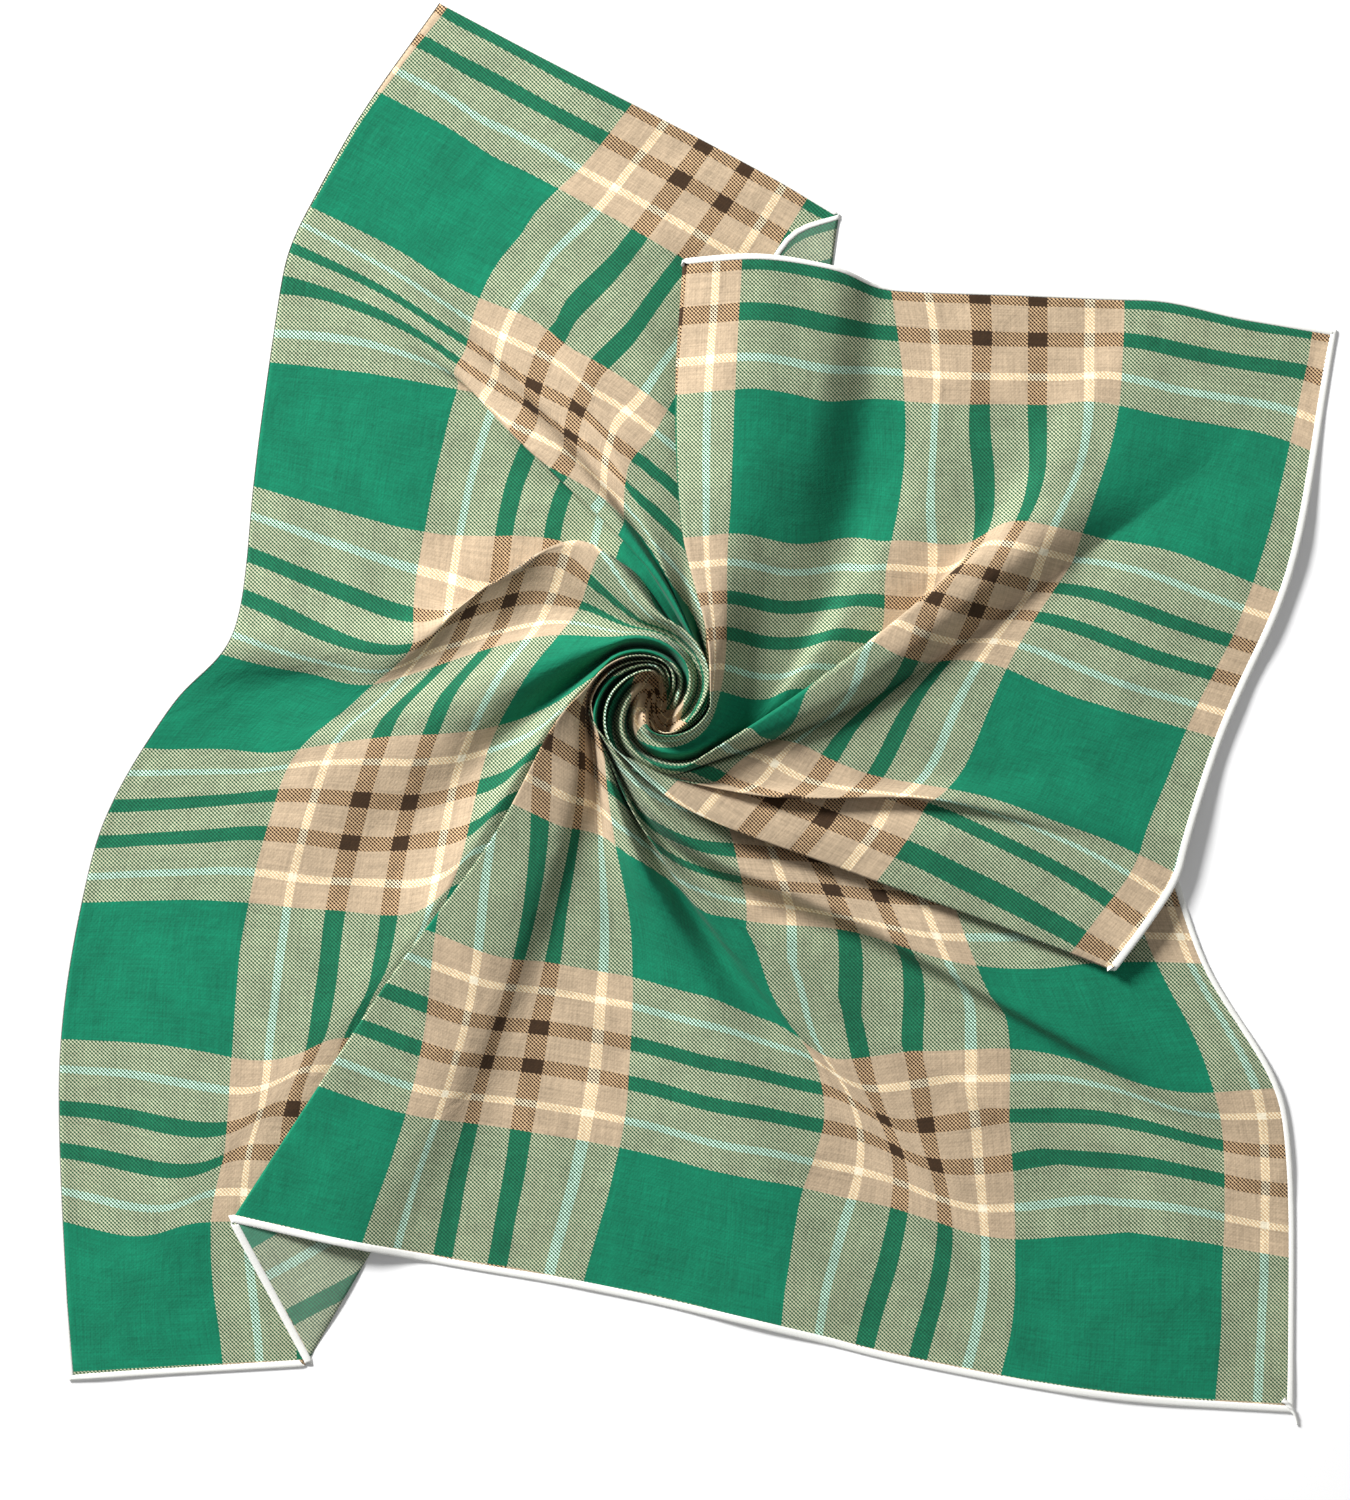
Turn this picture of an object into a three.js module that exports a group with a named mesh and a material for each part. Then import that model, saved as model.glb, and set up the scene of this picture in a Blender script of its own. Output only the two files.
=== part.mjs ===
import * as THREE from 'three';

// A square cotton bandana, laid out flat on a table with its middle twisted into a rosette.
// Lengths are millimetres. +Z is up, and +Y is the edge of the cloth that has the top corners.

// The cut cloth, and the place in it that was pinched and turned
const CLOTH_WIDTH = 597;
const CLOTH_HEIGHT = 608;
const TWIST_FROM_LEFT = 287;
const TWIST_FROM_TOP = 273;
const SHEET_THICKNESS = 1.0;
const HEM_THICKNESS = 1.5;
const HEM_WIDTH = 3.5;
// The wavy surface settles by this much onto the table, so that its low parts lie flat
const SETTLE = 1.0;

// The rosette: the round of cloth that is wound up, how far it is turned, and its hollow
const ROSETTE_CLOTH_RADIUS = 97.5;
const ROSETTE_TURN = 230;
const ROSETTE_TIGHTENING = 1.2;
const ROSETTE_MEAN_HEIGHT = 13;
const ROSETTE_CREST_FADE = 0.65;
const HOLLOW_FLOOR = 3;
const HOLLOW_STARTS = 0.22;
const HOLLOW_ENDS = 0.48;
const HOLLOW_LEAN = 8;
const HOLLOW_STRETCH = 0.45;
const HOLLOW_SQUEEZE = 0.3;
const HOLLOW_SHAPE_REACH = 0.75;

// How finely the sheet is divided
const COLUMNS_PER_FOLD = 3;
const OUTER_RINGS = 11;
const ROSETTE_RINGS = [0.14, 0.27, 0.4, 0.54, 0.69, 0.85];

// The folds, clockwise from the top left corner. Each row is one line of the cloth, from the
// rosette to the hem. along is the distance of its end round the hem, clothAngle is the clock
// angle at which it leaves the wound round of cloth. hem, outer, middle and inner are places
// where it lies (x, y from the twist's centre, height). rim is where it meets the rosette
// (clock angle, radius, height).
const FOLD_COLUMNS = ['name', 'along', 'hem', 'outer', 'middle', 'inner', 'clothAngle', 'rim'];
const FOLDS = [
  ['top left corner', 0, [-85, 273, 0.5], [-54, 184, 1], [-12, 87, 7], [6, 44, 11], 325, [46, 24.6, 16]],
  ['top wave', 58, [-32, 245, 3], [-21, 200, 2], [0, 106, 5], [13, 40, 7], 333, [57, 23.4, 8]],
  ['top flat', 117, [19, 219, 1], [21, 157, 2], [19, 90, 3], [18, 36, 9], 341, [67, 22.6, 13]],
  ['top pleat tip', 190, [72, 190, 1.5], [62, 133, 2], [40, 75, 3], [24, 30, 6], 350, [77, 22.2, 7]],
  ['top pleat back', 250, [35.5, 160, 4], [36, 110, 5], [30, 63, 8], [24.6, 27, 11], 361, [86, 21.8, 12]],
  ['top pleat edge', 307, [9, 172, 7], [6, 118, 8], [9, 67, 13], [19, 27, 18], 373, [96, 21, 20]],
  ['upper right crown', 343, [35.5, 174, 9], [30, 110, 12], [25, 55, 14], [24, 18, 17], 384, [106, 21.5, 16]],
  ['upper right step', 390, [70.6, 169, 8], [62, 106, 9], [46, 44, 8], [32, 5, 8], 394, [118, 23.4, 13]],
  ['upper right foot', 418, [90, 161.5, 1], [82, 98, 1], [64, 36, 3], [39, -3, 8], 401, [129, 25, 14]],
  ['upper right flat', 468, [141, 159.5, 1.5], [119, 115, 2], [91, 60, 4], [46, -1, 8], 412, [138, 26.5, 10]],
  ['right roll crease', 503, [177.5, 158, 1], [152.5, 115, 1], [118, 54.6, 2], [63, -2, 4],
    425, [146, 27, 7]],
  ['right roll edge', 519.5, [194, 157.6, 1.5], [148.6, 84, 5], [106.5, 43.7, 11], [55.8, 4.7, 15],
    438, [155, 27.7, 17]],
  ['right roll top', 558, [229, 150, 1], [180.6, 93.6, 4], [132, 51.5, 10], [75, 4, 13],
    441, [162, 28.9, 15]],
  ['top right corner', 597, [265, 145, 0.5], [208, 88.5, 2], [134, 35, 2.5], [79, -1, 4], 444, [170, 30, 9]],
  ['right wave', 683, [249, 55, 3], [193, 36, 4], [135, 15.6, 5], [67.5, -13, 8], 446.5, [182, 30.8, 13]],
  ['right slope', 769, [219.6, -16, 3], [170, -22, 4], [118, -28.5, 6], [50, -33, 10], 449, [195, 30, 11]],
  ['small pleat edge', 810.5, [206.7, -55.8, 4], [162, -48.4, 6], [105, -37.8, 10], [44, -37, 13],
    450.5, [205, 28.5, 14]],
  ['small pleat crease', 823, [204, -66.7, 4], [159, -53, 5], [96.7, -36.7, 5], [36, -34, 7],
    453, [211, 27.3, 11]],
  ['right flap slope', 848, [193, -85, 5], [149, -64.7, 6], [96.7, -50.7, 8], [42, -39, 9],
    455, [218, 25.7, 13]],
  ['right flap edge', 873, [177.5, -105.7, 5], [135, -89, 6], [75, -66.7, 9], [13, -42.5, 18],
    458, [225, 24.6, 19]],
  ['right flap crease', 948, [193, -33.5, 1], [137.7, -36, 1.5], [75, -34, 3], [17, -34, 5],
    478, [234, 25.7, 6]],
  ['lower right start', 1014, [212, -96.7, 1], [151, -79, 2], [75, -60, 3], [12, -39, 8], 500, [242, 26, 11]],
  ['lower right crest', 1090, [246, -163, 1], [164, -132, 6], [82, -86.6, 9], [13, -55, 15],
    506, [250, 26, 17]],
  ['lower right flat', 1131, [248.4, -202, 0.5], [167, -149, 1], [83, -102.6, 2], [7, -57.7, 6],
    509, [255, 27, 8]],
  ['bottom right corner', 1205, [248, -277, 0.5], [159, -200, 3], [75, -128, 6], [4, -61.6, 11],
    511.5, [260, 27.3, 13]],
  ['bottom valley', 1334, [124, -264.4, 0.5], [60.5, -166, 1], [13, -89, 3], [-3, -55.8, 6],
    515, [264, 27.3, 8]],
  ['bottom wave', 1388, [70.6, -253.5, 2], [50, -186.4, 3], [22.6, -112, 6], [-9.8, -55.8, 13],
    520, [268, 26, 16]],
  ['bottom flat', 1481, [-15.6, -231.7, 1], [-6.6, -167, 1], [-15, -101.4, 2], [-22, -50, 6],
    525, [272, 27, 8]],
  ['bottom flap foot', 1532, [-70, -222, 1], [-53.4, -159, 1], [-38, -93, 2.5], [-28, -40, 8],
    527, [275, 27.7, 11]],
  ['bottom flap top', 1579, [-108, -217.6, 5], [-75, -161, 5], [-51.5, -94.8, 6], [-32.8, -34.3, 12],
    529, [279, 27.3, 14]],
  ['bottom flap edge', 1639.5, [-166.5, -202, 5], [-107.6, -111.5, 7], [-65, -53.8, 10], [-40.6, -9.8, 17],
    531, [283, 27, 19]],
  ['bottom flap crease', 1702, [-136.5, -259, 1], [-84.6, -167, 2], [-49.5, -89, 3], [-30, -22.6, 4],
    560, [298, 25, 8]],
  ['bottom left corner', 1802, [-229.3, -264.4, 0.5], [-151, -157, 2], [-96.3, -94.8, 4], [-45.6, -14.8, 11],
    582, [312, 24.6, 15]],
  ['left valley', 1910, [-234, -152, 1], [-166.5, -100.6, 2], [-104.5, -57.3, 1], [-51.5, -7, 5],
    595, [322, 25.7, 8]],
  ['left wave', 2007, [-221, -60.5, 1], [-151.7, -29.6, 2], [-110, -12.9, 6], [-47.6, 13.3, 12],
    610, [334, 27.3, 16]],
  ['left flat', 2081, [-189, 0, 1], [-151, 4.7, 1], [-112, 4, 3], [-41.7, 35, 7], 635, [350, 29.3, 10]],
  ['left flap edge', 2124, [-165.8, 26, 4], [-103.4, 22, 7], [-61, 48, 12], [-28.5, 63, 16],
    658, [363, 32.8, 18]],
  ['left flap crease', 2140, [-162, 41.7, 3], [-105, 35, 3], [-52.7, 41.3, 4], [-14.4, 53.4, 6],
    661, [369, 31.2, 9]],
  ['upper left flat', 2182.5, [-158, 83.9, 1], [-89.7, 69.4, 1], [-35.5, 72, 4], [-8, 49.5, 8],
    664, [375, 30, 11]],
  ['upper left slope', 2254, [-149.4, 147.4, 2], [-100, 125.6, 1], [-45.6, 95, 2], [-6.6, 51.5, 8],
    667, [382, 28.9, 10]],
  ['upper left crease', 2270, [-146, 168.5, 1.5], [-92.4, 132.6, 1], [-37, 102, 3], [-2, 49.5, 8],
    669, [387, 28, 9]],
  ['upper left flap edge', 2285.5, [-142.4, 180, 2], [-88.5, 137.3, 4], [-53.4, 99.8, 9], [-6.6, 55.4, 13],
    672, [392, 27.3, 14]],
  ['upper left ridge', 2316.5, [-133.4, 197.7, 3], [-82.7, 145, 4], [-37.8, 99, 9], [-0.8, 51.5, 14],
    675, [396, 26.5, 15]],
  ['upper left valley', 2346, [-119.7, 223, 1], [-78.8, 156.8, 1], [-26, 92.4, 6], [2, 49.5, 9],
    679, [400, 25.7, 10]],
];

const HEM_LENGTH = 2 * (CLOTH_WIDTH + CLOTH_HEIGHT);
const CORNERS = [0, CLOTH_WIDTH, CLOTH_WIDTH + CLOTH_HEIGHT, 2 * CLOTH_WIDTH + CLOTH_HEIGHT];

const folds = FOLDS.map((row) => Object.fromEntries(FOLD_COLUMNS.map((column, i) => [column, row[i]])));
for (const fold of folds) {
  const [clockAngle, radius, height] = fold.rim;
  const angle = THREE.MathUtils.degToRad(clockAngle);
  const rim = new THREE.Vector3(radius * Math.sin(angle), radius * Math.cos(angle), height);
  const places = [fold.inner, fold.middle, fold.outer, fold.hem].map((place) => new THREE.Vector3(...place));
  fold.path = new THREE.CatmullRomCurve3([rim, ...places], false, 'catmullrom', 0.5);
  fold.isCorner = CORNERS.includes(fold.along);
}

// Rings of the sheet outside the rosette, as shares of the way from its rim to the hem
const hemShare = HEM_WIDTH / Math.min(TWIST_FROM_LEFT, TWIST_FROM_TOP);
const outerRings = [];
for (let ring = 0; ring < OUTER_RINGS; ring++) {
  outerRings.push(((1 - hemShare) * ring) / (OUTER_RINGS - 1));
}
outerRings.push(1);

// Slope of a value across the folds at each row, limited so that it never overshoots a row
function slopesAcross(values) {
  const count = values.length;
  const gaps = values.map((_, i) => gapAfter(i));
  const steps = values.map((value, i) => (values[(i + 1) % count] - value) / gaps[i]);
  const limited = values.map((_, i) => {
    const before = (i + count - 1) % count;
    if (steps[i] * steps[before] <= 0) return 0;
    const heavy = 2 * gaps[i] + gaps[before];
    const light = gaps[i] + 2 * gaps[before];
    return (heavy + light) / (heavy / steps[before] + light / steps[i]);
  });
  return { steps, limited };
}

function gapAfter(index) {
  const next = folds[index + 1];
  return (next ? next.along : folds[0].along + HEM_LENGTH) - folds[index].along;
}

// Value between row index and the next one. At the cloth's corners the hem turns sharply.
function blendAcross(values, slopes, index, share, cornerSharpness) {
  const next = (index + 1) % folds.length;
  const gap = gapAfter(index);
  const step = slopes.steps[index];
  const startSharp = folds[index].isCorner ? cornerSharpness : 0;
  const endSharp = folds[next].isCorner ? cornerSharpness : 0;
  const start = THREE.MathUtils.lerp(slopes.limited[index], step, startSharp) * gap;
  const end = THREE.MathUtils.lerp(slopes.limited[next], step, endSharp) * gap;
  const s2 = share * share;
  const s3 = s2 * share;
  return (
    (2 * s3 - 3 * s2 + 1) * values[index] +
    (s3 - 2 * s2 + share) * start +
    (3 * s2 - 2 * s3) * values[next] +
    (s3 - s2) * end
  );
}

// One ring of points round the sheet, at the given share of every fold's path
function outerRing(share) {
  const points = folds.map((fold) => fold.path.getPointAt(share));
  const coordinates = ['x', 'y', 'z'].map((axis) => points.map((point) => point[axis]));
  const slopes = coordinates.map(slopesAcross);
  const sharpness = share ** 3;
  const ring = [];
  for (let fold = 0; fold < folds.length; fold++) {
    for (let column = 0; column < COLUMNS_PER_FOLD; column++) {
      const place = coordinates.map((values, axis) =>
        blendAcross(values, slopes[axis], fold, column / COLUMNS_PER_FOLD, sharpness),
      );
      ring.push(new THREE.Vector3(...place));
    }
  }
  return ring;
}

// A point of the wound cloth: share is 1 at the rosette's rim and 0 in the middle of its hollow
function rosettePoint(rim, share) {
  const turned = Math.atan2(rim.x, rim.y) + THREE.MathUtils.degToRad(ROSETTE_TURN) * (1 - share);
  const radius = Math.hypot(rim.x, rim.y) * share ** ROSETTE_TIGHTENING;
  const lean = THREE.MathUtils.degToRad(HOLLOW_LEAN);
  const shaping = THREE.MathUtils.smoothstep(1 - share / HOLLOW_SHAPE_REACH, 0, 1);
  const across = radius * Math.sin(turned + lean) * (1 - HOLLOW_SQUEEZE * shaping);
  const along = radius * Math.cos(turned + lean) * (1 + HOLLOW_STRETCH * shaping);
  const crest = (rim.z - ROSETTE_MEAN_HEIGHT) * (1 - ROSETTE_CREST_FADE * (1 - share));
  const wall = THREE.MathUtils.smoothstep(share, HOLLOW_STARTS, HOLLOW_ENDS);
  return new THREE.Vector3(
    across * Math.cos(lean) - along * Math.sin(lean),
    across * Math.sin(lean) + along * Math.cos(lean),
    THREE.MathUtils.lerp(HOLLOW_FLOOR, ROSETTE_MEAN_HEIGHT + crest, wall),
  );
}

// The middle surface, ring by ring from the hollow outwards, settled onto the table
function sheetRings() {
  const outer = outerRings.map(outerRing);
  const wound = ROSETTE_RINGS.map((share) => outer[0].map((rim) => rosettePoint(rim, share)));
  const rings = [...wound, ...outer];
  rings.forEach((ring, index) => {
    const thickness = thicknessAt(index, rings.length);
    for (const point of ring) point.z = Math.max(point.z - SETTLE, thickness / 2);
  });
  return rings;
}

function thicknessAt(ringIndex, ringCount) {
  return ringIndex === ringCount - 1 ? HEM_THICKNESS : SHEET_THICKNESS;
}

// Triangles of one face of the sheet: the strips between the rings and the fan in the hollow
function faceTriangles(ringCount, columns, firstVertex, facesUp) {
  const triangles = [];
  const corner = (ring, column) => firstVertex + 1 + ring * columns + (column % columns);
  const add = (a, b, c) => triangles.push(...(facesUp ? [a, b, c] : [a, c, b]));
  for (let column = 0; column < columns; column++) {
    add(firstVertex, corner(0, column + 1), corner(0, column));
    for (let ring = 0; ring < ringCount - 1; ring++) {
      add(corner(ring, column), corner(ring, column + 1), corner(ring + 1, column + 1));
      add(corner(ring, column), corner(ring + 1, column + 1), corner(ring + 1, column));
    }
  }
  return triangles;
}

// Directions square to the middle surface, which turn upright inside the rosette
function sheetNormals(vertices, rings, columns) {
  const surface = new THREE.BufferGeometry().setFromPoints(vertices);
  surface.setIndex(faceTriangles(rings.length, columns, 0, true));
  surface.computeVertexNormals();
  const found = surface.getAttribute('normal');
  const up = new THREE.Vector3(0, 0, 1);
  return vertices.map((_, index) => {
    const ring = Math.floor((index - 1) / columns);
    if (ring <= ROSETTE_RINGS.length) return up;
    return new THREE.Vector3().fromBufferAttribute(found, index);
  });
}

// The closed sheet: the upper face, the lower face and the edge strip at the hem
function sheetGeometry() {
  const rings = sheetRings();
  const columns = rings[0].length;
  const centre = new THREE.Vector3(0, 0, HOLLOW_FLOOR - SETTLE);
  const middle = [centre, ...rings.flat()];
  const normals = sheetNormals(middle, rings, columns);
  const shifted = (side) =>
    middle.map((point, index) => {
      const ring = Math.floor((index - 1) / columns);
      const half = thicknessAt(ring, rings.length) / 2;
      return point.clone().addScaledVector(normals[index], side * half);
    });
  const upper = shifted(1);
  const lower = shifted(-1);
  const triangles = [
    ...faceTriangles(rings.length, columns, 0, true),
    ...faceTriangles(rings.length, columns, upper.length, false),
  ];
  const lastRing = 1 + (rings.length - 1) * columns;
  for (let column = 0; column < columns; column++) {
    const a = lastRing + column;
    const b = lastRing + ((column + 1) % columns);
    triangles.push(a, b, b + upper.length, a, b + upper.length, a + upper.length);
  }
  const geometry = new THREE.BufferGeometry().setFromPoints([...upper, ...lower]);
  geometry.setIndex(triangles);
  geometry.computeVertexNormals();
  return geometry;
}

// Puts the origin under the middle of the cloth's box, at table height
function standOnOrigin(geometry) {
  geometry.computeBoundingBox();
  const { min, max } = geometry.boundingBox;
  geometry.translate(-(min.x + max.x) / 2, -(min.y + max.y) / 2, -min.z);
}

const cottonTwill = new THREE.MeshStandardMaterial({ color: '#1f7a5c', roughness: 0.9, metalness: 0 });

const clothGeometry = sheetGeometry();
standOnOrigin(clothGeometry);
const clothMesh = new THREE.Mesh(clothGeometry, cottonTwill);
clothMesh.name = 'bandana_cloth';

const bandana = new THREE.Group();
bandana.add(clothMesh);

export default bandana;
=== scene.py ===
"""A square checked cotton bandana, laid out flat with its middle twisted into a rosette.

The sheet follows a table of folds. Each row of the table is one line of the cloth, from the
wound rosette out to the hem, and the cloth between two rows is a smooth blend of them. Its
folds are then rounded a little and its layers kept apart, and it is dressed in a checked twill
and edged with overlock thread. Table sizes are millimetres, and the meshes are metres.
"""

from __future__ import annotations

import logging
import math
from collections.abc import Sequence
from dataclasses import dataclass, field
from enum import Enum

import bpy
import numpy as np
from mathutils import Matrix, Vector


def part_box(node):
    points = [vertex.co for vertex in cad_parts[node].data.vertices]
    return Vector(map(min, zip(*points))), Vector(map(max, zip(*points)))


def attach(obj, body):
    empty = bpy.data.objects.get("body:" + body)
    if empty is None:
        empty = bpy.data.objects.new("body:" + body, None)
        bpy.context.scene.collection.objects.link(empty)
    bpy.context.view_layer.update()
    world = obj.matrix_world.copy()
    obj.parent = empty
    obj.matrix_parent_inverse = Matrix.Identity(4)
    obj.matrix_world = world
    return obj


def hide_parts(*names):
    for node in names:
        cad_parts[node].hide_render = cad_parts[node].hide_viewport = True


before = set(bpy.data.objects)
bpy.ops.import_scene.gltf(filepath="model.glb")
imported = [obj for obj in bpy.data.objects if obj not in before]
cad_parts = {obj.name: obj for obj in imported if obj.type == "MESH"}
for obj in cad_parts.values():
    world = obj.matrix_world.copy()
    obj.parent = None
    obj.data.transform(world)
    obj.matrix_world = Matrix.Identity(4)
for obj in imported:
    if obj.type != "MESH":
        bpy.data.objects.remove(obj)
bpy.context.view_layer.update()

LOG = logging.getLogger("bandana")
MM = 0.001
CLOTH_NODE = "bandana_cloth"
TINY = 1e-9
Tree = bpy.types.NodeTree
Socket = bpy.types.NodeSocket

# Blender's mix node set to blend colours, with the numbers of its colour inputs and output.
MIX_COLOURS = {"data_type": "RGBA"}
MIX_FIRST, MIX_SECOND, MIX_RESULT = 6, 7, 2


@dataclass(frozen=True)
class Cut:
    """The cut square of cloth and the place in it that was twisted, in millimetres."""

    width: float = 597.0
    height: float = 608.0
    twist_from_left: float = 287.0
    twist_from_top: float = 273.0
    thickness: float = 0.4
    hem_width: float = 3.2

    @property
    def hem_length(self) -> float:
        """Length of the hem all round."""
        return 2 * (self.width + self.height)

    @property
    def corners(self) -> tuple[float, ...]:
        """Distances round the hem at which the cloth has its corners."""
        return (0.0, self.width, self.width + self.height, 2 * self.width + self.height)

    def hem_point(self, along: np.ndarray) -> np.ndarray:
        """Finds points of the hem in the cut cloth.

        Args:
            along: Distances clockwise round the hem from the top left corner.

        Returns:
            Points (from the left edge, down from the top edge), one row each.
        """
        w, h = self.width, self.height
        p = np.asarray(along, float) % self.hem_length
        right = np.where(p < w, p, np.where(p < w + h, w, np.where(p < 2 * w + h, 2 * w + h - p, 0.0)))
        down = np.where(p < w, 0.0, np.where(p < w + h, p - w, np.where(p < 2 * w + h, h, 2 * (w + h) - p)))
        return np.stack([right, down], -1)


@dataclass(frozen=True)
class Rosette:
    """The wound middle of the cloth, in millimetres and degrees.

    The hollow's start and end and the reach of the shaping are shares of the radius. The fade,
    the stretch and the squeeze say how much is lost or gained in the middle.
    """

    cloth_radius: float = 97.5
    turn: float = 230.0
    tightening: float = 1.2
    mean_height: float = 13.0
    crest_fade: float = 0.4
    hollow_floor: float = 1.0
    hollow_starts: float = 0.32
    hollow_ends: float = 0.43
    lean: float = 8.0
    stretch: float = 0.75
    squeeze: float = 0.35
    shape_reach: float = 0.75


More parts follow.
